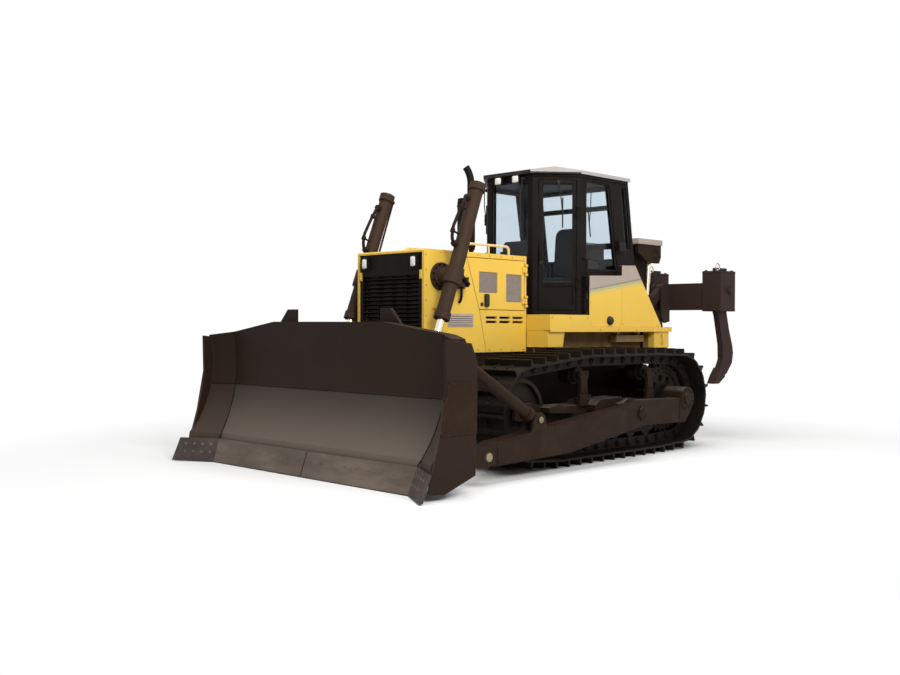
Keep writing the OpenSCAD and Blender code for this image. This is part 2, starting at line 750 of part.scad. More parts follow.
lift_y = 680;
module lift_brackets() {
    color(brown) both() difference() {
        union() {
            pin(lift_pivot, 140, hood_y + fit, hood_y + 26);
            pin(lift_pivot, 105, hood_y + 25, hood_y + 45);
            // Hose manifold behind the bracket
            block(lift_pivot[0] - 330, lift_pivot[0] - 110, hood_y + fit, hood_y + 25, 1800, 1930);
            block(lift_pivot[0] - 315, lift_pivot[0] - 205, hood_y + 24, hood_y + 95, 1815, 1915);
        }
        pin(lift_pivot, 60, hood_y + 10, hood_y + 46);
    }
}

lift_len = norm(rod_eye - lift_pivot);
barrel_r = 70;
module lift_barrel(side) {
    top = -1000;
    low = 455;
    color(brown) on_side(side) difference() {
        union() {
            bar(lift_pivot, rod_eye, barrel_r, lift_y, top + 10, low - 5);
            bar(lift_pivot, rod_eye, barrel_r + 12, lift_y, top, top + 75);
            bar(lift_pivot, rod_eye, barrel_r + 12, lift_y, low - 70, low);
            bar(lift_pivot, rod_eye, barrel_r + 24, lift_y, -85, 85);
            pin(lift_pivot, 85, hood_y + 51, lift_y);
            pin(lift_pivot, 60 - fit, hood_y + 12, hood_y + 60);
        }
        bar(lift_pivot, rod_eye, 38 + fit, lift_y, top + 100, low + 15);
    }
}

module lift_rod(side) {
    color(pale) on_side(side) difference() {
        union() {
            bar(lift_pivot, rod_eye, 38, lift_y, 60, lift_len - 50);
            pin(rod_eye, 80, lift_y - 30, lift_y + 30);
        }
        pin(rod_eye, 46, lift_y - 31, lift_y + 31);
    }
}

module lift_barrel_left() {
    lift_barrel(1);
}

module lift_barrel_right() {
    lift_barrel(-1);
}

module lift_rod_left() {
    lift_rod(1);
}

module lift_rod_right() {
    lift_rod(-1);
}

// Blade: the face is part of a cylinder, bent forward at the wings on a mitre
edge_lean = atan2(85, 230);
edge_tall = 245;
edge_t = 32;
edge_tip = [edge_reach, blade_gap];
edge_top = edge_tip + edge_tall * [-sin(edge_lean), cos(edge_lean)];
face_top = [edge_reach - 285, blade_h];
face_r = 1330;
face_mid = (edge_top + face_top) / 2;
face_chord = face_top - edge_top;
face_out = [face_chord[1], -face_chord[0]] / norm(face_chord);
face_centre = face_mid + sqrt(pow(face_r, 2) - pow(norm(face_chord) / 2, 2)) * face_out;
function edge_back(z) = edge_top[0] - edge_t * cos(edge_lean) - fit
    + (edge_top[1] - edge_t * sin(edge_lean) - z) * tan(edge_lean);
blade_back = edge_reach - 450;

// Plan region of the middle of the blade, and of the left wing out to y1
zone = 700;
mitre = zone * tan(wing_angle / 2);
module middle_zone() {
    linear_extrude(height = 1800) polygon([[fold_x - zone, fold_y + mitre], [fold_x + zone, fold_y - mitre],
        [fold_x + zone, mitre - fold_y], [fold_x - zone, -fold_y - mitre]]);
}

module wing_zone(y1) {
    linear_extrude(height = 1800) polygon([[fold_x - zone, fold_y + mitre], [fold_x + zone, fold_y - mitre],
        [fold_x + zone, y1], [fold_x - zone, y1]]);
}

module folded() {
    translate([fold_x, fold_y, 0]) rotate([0, 0, -wing_angle]) translate([-fold_x, -fold_y, 0]) children();
}

module blade_section(y0, y1) {
    difference() {
        plate([[edge_back(228), 228], [edge_back(150), 150], [blade_back + 210, 150], [blade_back, 330],
            [blade_back, 520], [blade_back + 50, 545], [blade_back + 50, blade_h - 420],
            [blade_back - 20, blade_h - 400], [blade_back - 20, blade_h - 170], [blade_back + 60, blade_h],
            face_top], y0, y1);
        pin(face_centre, face_r, y0 - 1, y1 + 1);
    }
}

// Front view outline of the blade's top edge, as a cutter
module top_line() {
    side = blade_w / 2 + 10;
    top_flat = blade_w * 0.221;
    wall([[-side, 0], [side, 0], [side, blade_h - 150], [top_flat, blade_h], [-top_flat, blade_h],
        [-side, blade_h - 150]], 0, 6000);
}

module moldboard() {
    color(brown) {
        intersection() {
            blade_section(-2000, 2000);
            middle_zone();
            top_line();
        }
        both() {
            // Guards behind the top edge
            wall([[640, blade_h + 125], [780, blade_h + 125], [955, blade_h - 60], [955, blade_h - 185],
                [640, blade_h - 185]], blade_back - 8, blade_back + 22);
            // Lugs for the lift cylinders
            for (y = [lift_y - 62, lift_y + 40]) plate([[blade_back + 60, 440], [blade_back + 60, 800],
                [3720, 700], [3610, 660], [3590, 590], [3640, 540]], y, y + 22);
            pin(rod_eye, 30, lift_y - 55, lift_y + 55);
            // Forks for the push arms
            for (y = [arm_in - 38, arm_out + 8]) plate([[blade_back + 90, 240], [blade_back + 70, 420],
                [3640, 350], [3545, 300], [3545, 215], [3620, 160], [3700, 160]], y, y + 30);
            pin(arm_front, 45, arm_in - 50, arm_out + 50);
            // Lugs for the braces
            for (y = [arm_y - 75, arm_y + 45]) plate(moved(brace_high, [[265, -55], [265, 120], [-30, 70],
                [-80, 0], [-60, -60]]), y, y + 30);
            pin(brace_high, 35, arm_y - 85, arm_y + 85);
            // Ribs between the two back beams
            for (y = [330, 1000, 1330])
                block(blade_back - 10, blade_back + 70, y, y + 30, 500, blade_h - 390);
        }
    }
}

module blade_wings() {
    side_y = blade_w / 2 - 40;
    end_plate = moved([edge_reach, 0], [[-90, blade_h - 149], [-390, blade_h - 180], [-460, blade_h - 330],
        [-444, 168], [-67, 43], [90, 60], [65, 235], [-30, 560], [-100, 900]]);
    color(brown) both() {
        intersection() {
            folded() blade_section(fold_y - 400, fold_y + zone);
            translate([0, fit, 0]) wing_zone(side_y - 12);
            top_line();
        }
        plate(end_plate, side_y - 30, side_y);
    }
}

module edge_section(y0, y1) {
    back = edge_t * [cos(edge_lean), sin(edge_lean)];
    plate([edge_tip, edge_top, edge_top - back, [edge_tip[0] - edge_t / cos(edge_lean), blade_gap]], y0, y1);
}

// The cutting edge is in two halves that butt at the middle
module cutting_edge() {
    color(steel) both() intersection() {
        edge_section(1, 2000);
        middle_zone();
    }
}

module end_bits() {
    color(steel) both() intersection() {
        folded() edge_section(fold_y - 400, fold_y + zone);
        translate([0, fit, 0]) wing_zone(blade_w / 2 - fit);
    }
}

module push_arms() {
    color(brown) both() {
        difference() {
            union() {
                plate([[1130, 628], [3480, 380], [3627, 345], [3627, 170], [3450, 160], [2400, 190],
                    [1168, 366], [1090, 400]], arm_in, arm_out);
                pin(arm_pivot, 130, arm_in, arm_out);
                pin(arm_front, 88, arm_in, arm_out);
                for (y = [arm_y - 75, arm_y + 45]) plate(moved(brace_low, [[-105, -120], [-75, 30],
                    [-25, 70], [35, 65], [75, 30], [125, -120]]), y, y + 30);
            }
            pin(arm_pivot, 60 + fit, arm_in - 1, arm_out + 1);
            pin(arm_front, 45 + fit, arm_in - 1, arm_out + 1);
        }
        pin(brace_low, 35, arm_y - 85, arm_y + 85);
    }
}

module braces() {
    len = norm(brace_high - brace_low);
    color(brown) both() difference() {
        union() {
            bar(brace_low, brace_high, 58, arm_y, 90, len - 110);
            bar(brace_low, brace_high, 38, arm_y, 40, len - 40);
            bar(brace_low, brace_high, 70, arm_y, 90, 150);
            for (p = [brace_low, brace_high]) pin(p, 64, arm_y - 40, arm_y + 40);
        }
        for (p = [brace_low, brace_high]) pin(p, 35 + fit, arm_y - 41, arm_y + 41);
    }
}

// Ripper links, side by side at these distances from the middle
link_y = [245, 325];
module link_arm(p) {
    translate([p[0], 0, p[1]]) rotate([0, link_angle - 180, 0]) difference() {
        union() {
            plate([[0, -62], [link_len, -56], [link_len, 56], [0, 62]], link_y[0], link_y[1]);
            pin([0, 0], 84, link_y[0], link_y[1]);
            pin([link_len, 0], 74, link_y[0], link_y[1]);
        }
        pin([0, 0], 45 + fit, link_y[0] - 1, link_y[1] + 1);
        pin([link_len, 0], 40 + fit, link_y[0] - 1, link_y[1] + 1);
    }
}

jack_y = 440;
module ripper_lower_links() {
    color(brown) {
        both() {
            link_arm(ripper_low);
            pin(jack_low, 32, link_y[1] - 5, jack_y + 60);
        }
        pin(ripper_low + 560 * link_dir, 60, -link_y[0] - 5, link_y[0] + 5);
    }
}

module ripper_upper_links() {
    color(brown) both() link_arm(ripper_high);
}

// Ripper beam with three shank boxes, and the shanks that stand in them
box_half = 130;
box_x = [-1530, -1170];
box_z = [1620, 2130];
shank_half = 38;
shank_x = [-1480, -1260];
shank_y = [for (k = [-1, 0, 1]) k * (beam_w / 2 - box_half)];
module ripper_beam() {
    color(brown) {
        difference() {
            union() {
                block(-1450, -1185, shank_y[0], shank_y[2], 1640, 1980);
                for (y = shank_y) block(box_x[0], box_x[1], y - box_half, y + box_half, box_z[0], box_z[1]);
            }
            for (y = shank_y) block(shank_x[0] - fit, shank_x[1] + fit, y - shank_half - fit,
                y + shank_half + fit, box_z[0] - 20, box_z[1] + 20);
        }
        both() {
            for (y = [205, 335]) plate([[-1190, 1490], [-1080, 1470], [-1010, 1530], [-1010, 1940],
                [-1060, 1990], [-1190, 1975]], y, y + 30);
            pin(beam_low, 40, 206, 364);
            pin(beam_high, 40, 206, 364);
        }
        for (y = shank_y, s = [-1, 1]) pin([-1370, 1880], 45, y + s * 142 - 14, y + s * 142 + 14);
    }
}

module ripper_shanks() {
    rear = -ripper_rear;
    shank = [[shank_x[1], 2170], [shank_x[0], 2170], [shank_x[0], box_z[0]], [rear + 111, 1400],
        [rear + 20, 1180], [rear, 1090], [rear + 26, 960], [rear + 156, 830], [-1350, 760], [-1330, 900],
        [-1400, 1010], [-1390, 1200], [-1290, 1560], [shank_x[1], box_z[0]]];
    point = [[-1430, 790], [-1280, shank_tip], [-1170, shank_tip], [-1230, 800], [-1330, 905], [-1410, 890]];
    color(brown) for (y = shank_y) {
        plate(shank, y - shank_half, y + shank_half);
        plate(point, y - shank_half - 17, y + shank_half + 17);
    }
}

jack_len = norm(jack_high - jack_low);
module ripper_barrels() {
    color(brown) both() difference() {
        union() {
            bar(jack_low, jack_high, 58, jack_y, 40, 700);
            bar(jack_low, jack_high, 66, jack_y, 640, 705);
            pin(jack_low, 64, jack_y - 45, jack_y + 45);
        }
        pin(jack_low, 32 + fit, jack_y - 46, jack_y + 46);
        bar(jack_low, jack_high, 34 + fit, jack_y, 110, 720);
    }
}

module ripper_rods() {
    color(pale) both() difference() {
        union() {
            bar(jack_low, jack_high, 34, jack_y, 330, jack_len - 75);
            pin(jack_high, 95, jack_y - 40, jack_y + 40);
        }
        pin(jack_high, 72, jack_y - 41, jack_y + 41);
    }
}

placed() main_frame();
placed() engine();
placed() hood();
placed() grille();
placed() headlamps();
placed() hood_rails();
placed() exhaust_stack();
placed() track_frames();
placed() tracks();
placed() sprockets();
placed() idlers();
placed() track_rollers();
placed() carrier_rollers();
placed() deck();
placed() side_tanks();
placed() cab_frame();
placed() cab_roof();
placed() cab_glass();
placed() seat();
placed() console();
placed() roof_lamps();
placed() ripper_tower();
placed() lift_brackets();
placed() moldboard();
placed() blade_wings();
placed() cutting_edge();
placed() end_bits();
placed() push_arms();
placed() braces();
placed() lift_barrel_left();
placed() lift_rod_left();
placed() lift_barrel_right();
placed() lift_rod_right();
placed() ripper_lower_links();
placed() ripper_upper_links();
placed() ripper_beam();
placed() ripper_shanks();
placed() ripper_barrels();
placed() ripper_rods();
placed() cab_door_left();
placed() cab_door_right();
placed() door_glass_left();
placed() door_glass_right();
placed() engine_door_left();
placed() engine_door_right();
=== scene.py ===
"""Looks of the crawler bulldozer: finishes for every CAD node, and the small parts that sit on them."""

import math

import bmesh
import bpy
from mathutils import Matrix, Vector


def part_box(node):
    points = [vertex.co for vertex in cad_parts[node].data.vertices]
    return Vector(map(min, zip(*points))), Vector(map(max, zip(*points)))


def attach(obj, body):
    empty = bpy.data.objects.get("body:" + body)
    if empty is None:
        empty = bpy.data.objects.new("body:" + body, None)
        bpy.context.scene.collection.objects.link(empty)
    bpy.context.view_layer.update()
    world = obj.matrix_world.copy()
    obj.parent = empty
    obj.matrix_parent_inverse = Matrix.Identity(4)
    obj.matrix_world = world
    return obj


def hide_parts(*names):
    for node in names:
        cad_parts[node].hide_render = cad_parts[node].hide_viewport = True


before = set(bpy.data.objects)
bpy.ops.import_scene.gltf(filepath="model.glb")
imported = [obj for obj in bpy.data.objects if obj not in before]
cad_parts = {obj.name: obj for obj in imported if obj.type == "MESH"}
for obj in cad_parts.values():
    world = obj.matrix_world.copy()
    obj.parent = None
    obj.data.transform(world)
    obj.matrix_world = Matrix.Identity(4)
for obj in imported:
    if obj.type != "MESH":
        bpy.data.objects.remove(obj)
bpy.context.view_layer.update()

SIDES = (1, -1)
AHEAD, LEFT, UP = Vector((1, 0, 0)), Vector((0, 1, 0)), Vector((0, 0, 1))


# Sizes of the CAD model that the pieces sit on, in millimetres; x counts from the sprocket axle

WHEELBASE, TRACK_Y, SPROCKET_Z = 2640, 1000, 595
LINK_H, SHOE_T, CHAIN_H, SHOES = 105, 20, 190, 41
ROLLER_R, IDLER_R, SPROCKET_R, CARRIER_R = 100, 345, 385, 85
IDLER_Z, CARRIER_Z, CARRIER_X = CHAIN_H + IDLER_R + 30, CHAIN_H + 725, (490, WHEELBASE - 920)
BEAM_OUT = TRACK_Y + 365

ARM_PIVOT, ARM_FRONT, ARM_OUT = (1170, 500), (3627, 257), 1540
BRACE_LOW, BRACE_HIGH = (2860, 540), (3860, 1120)
EDGE_TIP, EDGE_LEAN, EDGE_TALL = (4510, 10), math.atan2(85, 230), 245
BLADE_H, BLADE_W, FACE_R, FACE_SEAM = 1460, 3750, 1330, 800
FOLD_X, FOLD_Y, WING = EDGE_TIP[0] - 188, BLADE_W * 0.408, math.radians(32)
END_Y = BLADE_W / 2 - 40
LIFT_PIVOT, ROD_EYE, LIFT_Y, BARREL_R = (3168, 1914), (3666, 606), 680, 70

HOOD_Y, HOOD_TOP, HOOD_FRONT = 500, 2180, 3390
SCREENS, MESH = ((1930, 2180, 1680, 1975), (2320, 2600, 1770, 1985)), 12
STACK_X, STACK_Y, TAIL = 2480, 195, 34

CAB_FLOOR, CAB_FRONT, CAB_TOP, CAB_Y, CAB_FRONT_Y, SIDE_X = 1585, 1560, 3125, 715, 340, 1165
WINDOW_LOW, WINDOW_TOP, REAR_LOW, REAR_HIGH, WAIST = 2070, 3050, 126, 275, 2150
SEAL_IN = 26
WALL_DIR = Vector((SIDE_X - CAB_FRONT, CAB_Y - CAB_FRONT_Y)).normalized()
WALL_LEN = math.hypot(SIDE_X - CAB_FRONT, CAB_Y - CAB_FRONT_Y)
PANE_X, PANE_Z = (113, WALL_LEN - 90), (1915, CAB_TOP - 111)
SEAT_LOW, SEAT_TOP = CAB_FLOOR + 279, CAB_FLOOR + 420
HEADLAMP, ROOF_LAMP = (HOOD_FRONT + 22, 365, HOOD_TOP - 120), (CAB_FRONT + 55, 130, CAB_TOP - 49)

DECK_Y, TANK_OUT = 830, 800
SHANK_Y, BOX_X, BOX_TOP = (-985, 0, 985), (-1530, -1170), 2130
JACK_LOW, JACK_HIGH, JACK_Y = (-481.7, 1105.4), (-590, 2330), 440

# The idlers' box gives where the sprocket axle is in the shared frame
idler_low, idler_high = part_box("idlers")
AXLE_X = (idler_low.x + idler_high.x) / 2 - WHEELBASE / 1000


def at(x, y, z):
    """A point given in millimetres from the sprocket axle, in the shared frame."""
    return Vector((AXLE_X + x / 1000, y / 1000, z / 1000))


def outward(side):
    return LEFT * side


# Materials


class Surface:
    """A node material round one Principled shader, built with short calls."""

    def __init__(self, name, **sockets):
        self.material = bpy.data.materials.new(name)
        self.material.use_nodes = True
        self.tree = self.material.node_tree
        self.shader = self.tree.nodes["Principled BSDF"]
        for socket, value in sockets.items():
            self.shader.inputs[socket.replace("_", " ")].default_value = value
        self.place = self.node("ShaderNodeTexCoord").outputs["Object"]
        self.normal = self.node("ShaderNodeNewGeometry").outputs["Normal"]

    def node(self, kind, links=(), **settings):
        made = self.tree.nodes.new(kind)
        for key, value in settings.items():
            setattr(made, key, value)
        for socket, value in dict(links).items():
            self.put(made.inputs[socket], value)
        return made

    def put(self, socket, value):
        if isinstance(value, bpy.types.NodeSocket):
            self.tree.links.new(value, socket)
        else:
            socket.default_value = value

    def noise(self, scale, detail=4.0, roughness=0.55, stretch=(1, 1, 1)):
        place = self.node("ShaderNodeMapping", {"Vector": self.place, "Scale": stretch}).outputs[0]
        links = {"Vector": place, "Scale": scale, "Detail": detail, "Roughness": roughness}
        return self.node("ShaderNodeTexNoise", links).outputs[0]

    def wave(self, scale, way):
        links = {"Vector": self.place, "Scale": scale}
        return self.node("ShaderNodeTexWave", links, bands_direction=way).outputs["Fac"]

    def math(self, operation, a, b=0.0):
        return self.node("ShaderNodeMath", {0: a, 1: b}, operation=operation).outputs[0]

    def times(self, a, b):
        return self.math("MULTIPLY", a, b)

    def step(self, value, low, high):
        """0 below low, 1 above high, smooth between."""
        links = {"Value": value, "From Min": low, "From Max": high}
        return self.node("ShaderNodeMapRange", links, interpolation_type="SMOOTHSTEP").outputs[0]

    def fit(self, value, low, high):
        """Value 0 to 1 spread from low to high."""
        return self.node("ShaderNodeMapRange", {"Value": value, "To Min": low, "To Max": high}).outputs[0]

    def mix(self, share, a, b, blend="MIX"):
        links = {0: share, 6: a, 7: b}
        return self.node("ShaderNodeMix", links, data_type="RGBA", blend_type=blend).outputs[2]

    def axis(self, index):
        return self.node("ShaderNodeSeparateXYZ", {0: self.place}).outputs[index]

    def width(self):
        """Distance from the machine's middle plane."""
        return self.math("ABSOLUTE", self.axis(1))

    def facing(self, index):
        return self.node("ShaderNodeSeparateXYZ", {0: self.normal}).outputs[index]

    def edges(self, radius):
        """Rounded normal at the edges, and a mask of where they are."""
        bevel = self.node("ShaderNodeBevel", {"Radius": radius}, samples=3).outputs[0]
        links = {0: bevel, 1: self.normal}
        dot = self.node("ShaderNodeVectorMath", links, operation="DOT_PRODUCT").outputs["Value"]
        return bevel, self.step(dot, 0.995, 0.86)

    def finish(self, colour, roughness, height=None, strength=0.1, normal=None):
        self.put(self.shader.inputs["Base Color"], colour)
        self.put(self.shader.inputs["Roughness"], roughness)
        if height is not None:
            links = {"Height": height, "Strength": strength, "Distance": 0.004}
            if normal is not None:
                links["Normal"] = normal
            normal = self.node("ShaderNodeBump", links).outputs[0]
        if normal is not None:
            self.put(self.shader.inputs["Normal"], normal)
        return self.material


def rgb(r, g, b):
    return (r, g, b, 1.0)


def shade(colour, by):
    return tuple(min(1.0, c * by) for c in colour[:3]) + (1.0,)


YELLOW, YELLOW_WORN = rgb(0.83, 0.53, 0.070), rgb(0.50, 0.38, 0.20)
CREAM = rgb(0.82, 0.62, 0.30)
PALE = rgb(0.415, 0.340, 0.290)
ROOF = rgb(0.44, 0.410, 0.385)
GREY = rgb(0.27, 0.25, 0.22)
BROWN, BROWN_WORN = rgb(0.0215, 0.0115, 0.0068), rgb(0.075, 0.055, 0.042)
BLACK = rgb(0.0080, 0.0056, 0.0044)
DRY_DUST, SOIL = rgb(0.36, 0.30, 0.22), rgb(0.052, 0.036, 0.026)
GLOSSY = {"Specular_IOR_Level": 0.25, "Coat_Weight": 0.05, "Coat_Roughness": 0.2}
SATIN = {"Specular_IOR_Level": 0.06}


def coated(surface, colour, worn, roughness, dust, share):
    """Paint with a cloudy tone, rubbed edges, and dust that settles low down and on top."""
    bevel, edge = surface.edges(0.009)
    shaded = surface.mix(1.0, colour, rgb(0.88, 0.87, 0.86), "MULTIPLY")
    tone = surface.mix(surface.noise(1.7, 6.0), shaded, colour)
    patches = surface.step(surface.noise(26, 5.0, 0.65), 0.46, 0.66)
    tone = surface.mix(surface.times(edge, patches), tone, worn)
    low = surface.step(surface.axis(2), 1.3, 0.0)
    top = surface.step(surface.facing(2), 0.6, 0.95)
    lie = surface.fit(surface.math("MAXIMUM", low, top), 0.25, 1.0)
    settle = surface.times(surface.step(surface.noise(5, 6.0, 0.7), 0.38, 0.75), share)
    tone = surface.mix(surface.times(lie, settle), tone, dust)
    grit = surface.fit(surface.noise(7, 5.0), roughness - 0.07, roughness + 0.10)
    return surface.finish(tone, grit, surface.noise(210, 2.0), 0.05, bevel)


def paint(name, colour, worn, roughness=0.40):
    """Bright machine paint under a thin clear coat."""
    return coated(Surface(name, **GLOSSY), colour, worn, roughness, DRY_DUST, 0.16)


def dark_paint(name, colour, worn, roughness=0.5):
    """Satin dark paint with little gloss."""
    return coated(Surface(name, **SATIN), colour, worn, roughness, SOIL, 0.30)


def striped_paint(name):
    """Yellow side panel, pale above a slanted stripe on its outer face, and dark on its front edge."""
    surface = Surface(name, **GLOSSY)
    slope, foot, blur = -0.150, at(1146, 0, 1830), 0.0015
    height = surface.math("SUBTRACT", surface.axis(2), surface.times(surface.axis(0), slope))
    gold, green = rgb(0.70, 0.52, 0.13), rgb(0.50, 0.44, 0.20)
    tone = YELLOW
    for offset, colour in ((-0.075, gold), (-0.040, green), (-0.010, GREY), (0.009, PALE)):
        line = foot.z - slope * foot.x + offset
        tone = surface.mix(surface.step(height, line - blur, line + blur), tone, colour)
    rim = surface.mix(surface.step(surface.facing(0), 0.5, 0.7), YELLOW, BLACK)
    tone = surface.mix(surface.step(surface.width(), 0.7985, 0.7995), rim, tone)
    return coated(surface, tone, rgb(0.50, 0.42, 0.28), 0.40, DRY_DUST, 0.14)


def deck_paint(name):
    """Yellow deck, darkened to brown on what hangs under it behind the tracks: painted shade under the
    deck.
    """
    surface = Surface(name, **GLOSSY)
    # painted shade: the parts hanging under the deck are darkened to brown
    inner = surface.step(surface.width(), 0.722, 0.712)
    under = surface.times(inner, surface.step(surface.axis(2), 1.352, 1.342))
    painted_shade = surface.times(under, surface.fit(surface.noise(9, 5.0), 0.55, 1.0))
    tone = surface.mix(painted_shade, YELLOW, rgb(0.15, 0.095, 0.050))
    return coated(surface, tone, YELLOW_WORN, 0.40, DRY_DUST, 0.16)


def case_paint(name):
    """Dark paint, turned to a mottled dark yellow-brown on the upper side walls of the case under the deck:
    a yellow darkened by painted shade.
    """
    surface = Surface(name, **SATIN)
    # painted shade: the side walls under the deck get a darkened yellow-brown
    wall = surface.step(surface.width(), 0.597, 0.599)
    painted_shade = surface.times(wall, surface.step(surface.axis(2), 1.10, 1.18))
    tone = surface.mix(surface.times(painted_shade, surface.noise(5, 6.0)), BROWN, rgb(0.42, 0.25, 0.085))
    return coated(surface, tone, BROWN_WORN, 0.5, SOIL, 0.30)


def dust_and_top_highlight_paint(name):
    """Dark paint made paler in patches on what faces up: dust, with a painted highlight where light falls
    on top.
    """
    surface = Surface(name, **SATIN)
    # pale patches on up-facing faces: dust and a painted highlight
    lie = surface.times(surface.step(surface.facing(2), 0.55, 0.85), 0.85)
    share = surface.times(lie, surface.step(surface.noise(4, 6.0, 0.7), 0.30, 0.60))
    tone = surface.mix(share, BROWN, rgb(0.125, 0.105, 0.090))
    return coated(surface, tone, BROWN_WORN, 0.5, SOIL, 0.30)


def roof_paint(name):
    """Pale roof, dark on its underside and on the lower part of its front rims."""
    surface = Surface(name, Specular_IOR_Level=0.25)
    lift = surface.times(surface.step(surface.facing(0), 0.80, 0.90), 0.026)
    low = surface.step(surface.math("SUBTRACT", surface.axis(2), lift), 3.144, 3.141)
    rim = surface.times(low, surface.step(surface.facing(0), 0.55, 0.65))
    dark = surface.math("MAXIMUM", rim, surface.step(surface.facing(2), -0.5, -0.6))
    tone = surface.mix(dark, ROOF, BLACK)
    return coated(surface, tone, rgb(0.32, 0.30, 0.27), 0.45, DRY_DUST, 0.16)


def worn_blade_with_reflection(name, share):
    """Dark satin paint with a painted reflection on its lower front face, brighter towards the bottom below
    a wavy line, in the given share.
    """
    surface = Surface(name, Specular_IOR_Level=0.08)
    bevel, edge = surface.edges(0.010)
    streaks = surface.noise(3.2, 6.0, 0.6, (1, 0.25, 3.0))
    wavy = surface.math("ADD", surface.axis(2), surface.fit(streaks, -0.02, 0.02))
    # painted reflection: the lower front face is made brighter, more so towards the bottom
    front = surface.times(surface.step(surface.facing(0), 0.25, 0.6), share)
    rub = surface.times(front, surface.step(wavy, 0.815, 0.785))
    low = surface.step(surface.axis(2), 0.85, 0.25)
    bright = surface.mix(low, rgb(0.050, 0.038, 0.031), rgb(0.140, 0.109, 0.088))
    tone = surface.mix(surface.noise(2.1, 5.0), shade(BROWN, 0.80), shade(BROWN, 1.10))
    tone = surface.mix(rub, tone, bright)
    scratch = surface.step(surface.noise(14, 3.0, 0.6, (1, 1, 14)), 0.62, 0.74)
    tone = surface.mix(surface.times(scratch, 0.12), tone, rgb(0.12, 0.10, 0.085))
    tone = surface.mix(surface.times(edge, 0.35), tone, rgb(0.11, 0.09, 0.075))
    rough = surface.fit(surface.noise(6, 5.0), 0.42, 0.56)
    return surface.finish(tone, rough, surface.noise(160, 3.0), 0.06, bevel)


def bare_steel(name, colour, roughness, metallic, streak=(1, 1, 1), rub=1.9):
    """Bare or blackened metal with stains, brighter on its edges by the factor rub."""
    surface = Surface(name, Metallic=metallic, Specular_IOR_Level=0.15)
    bevel, edge = surface.edges(0.007)
    stain = surface.step(surface.noise(6, 6.0, 0.65, streak), 0.35, 0.70)
    tone = surface.mix(stain, shade(colour, 0.66), shade(colour, 1.15))
    rusty = rgb(*(0.6 * c + 0.5 * r for c, r in zip(colour, (0.085, 0.045, 0.022))))
    rust = surface.times(surface.step(surface.noise(11, 5.0, 0.7), 0.54, 0.72), 0.22)
    tone = surface.mix(rust, tone, rusty)
    tone = surface.mix(surface.times(edge, 0.5), tone, shade(colour, rub))
    grain = surface.fit(surface.noise(9, 5.0), roughness - 0.08, roughness + 0.14)
    return surface.finish(tone, grain, surface.noise(120, 4.0, 0.6), 0.14, bevel)


def chromed(name):
    """Plated rod with a warm film of oil."""
    surface = Surface(name, Metallic=1.0)
    film = surface.noise(9, 4.0, 0.5, (1, 1, 0.2))
    tone = surface.mix(film, rgb(0.92, 0.81, 0.61), rgb(0.82, 0.72, 0.55))
    return surface.finish(tone, surface.fit(surface.noise(30, 3.0), 0.10, 0.22))


def pane_glass(name):
    """Clear cab glass with a blue-grey tint and a faint film of dust."""
    surface = Surface(name, IOR=1.2, Transmission_Weight=1.0, Specular_IOR_Level=0.5)
    tone = surface.mix(surface.noise(2.5, 5.0), rgb(0.74, 0.81, 0.86), rgb(0.78, 0.84, 0.88))
    return surface.finish(tone, surface.fit(surface.noise(8, 4.0), 0.0, 0.03))


def lens_glass(name):
    """Lamp lens: pale ribbed glass."""
    surface = Surface(name, IOR=1.5, Specular_IOR_Level=0.8)
    ribs = surface.wave(38.0, "Y")
    tone = surface.mix(ribs, rgb(0.68, 0.66, 0.62), rgb(0.86, 0.85, 0.82))
    return surface.finish(tone, surface.fit(surface.noise(12), 0.08, 0.16), ribs, 0.35)


def moulded(name, colour, roughness=0.6):
    """Moulded plastic or rubber with a fine grain."""
    surface = Surface(name, Specular_IOR_Level=0.35)
    tone = surface.mix(surface.noise(4, 5.0), shade(colour, 0.8), shade(colour, 1.25))
    grit = surface.fit(surface.noise(11), roughness - 0.08, roughness + 0.1)
    return surface.finish(tone, grit, surface.noise(420, 2.0), 0.18)


def woven(name, colour):
    """Seat cloth: a fine two-way weave."""
    surface = Surface(name, Specular_IOR_Level=0.2, Sheen_Weight=0.1, Sheen_Roughness=0.5)
    across, along, upright = (surface.wave(150.0, way) for way in "XYZ")
    cloth = surface.times(surface.math("ADD", across, upright), along)
    tone = surface.mix(surface.times(cloth, 0.5), shade(colour, 0.7), shade(colour, 1.6))
    return surface.finish(tone, surface.fit(surface.noise(14), 0.78, 0.92), cloth, 0.4)


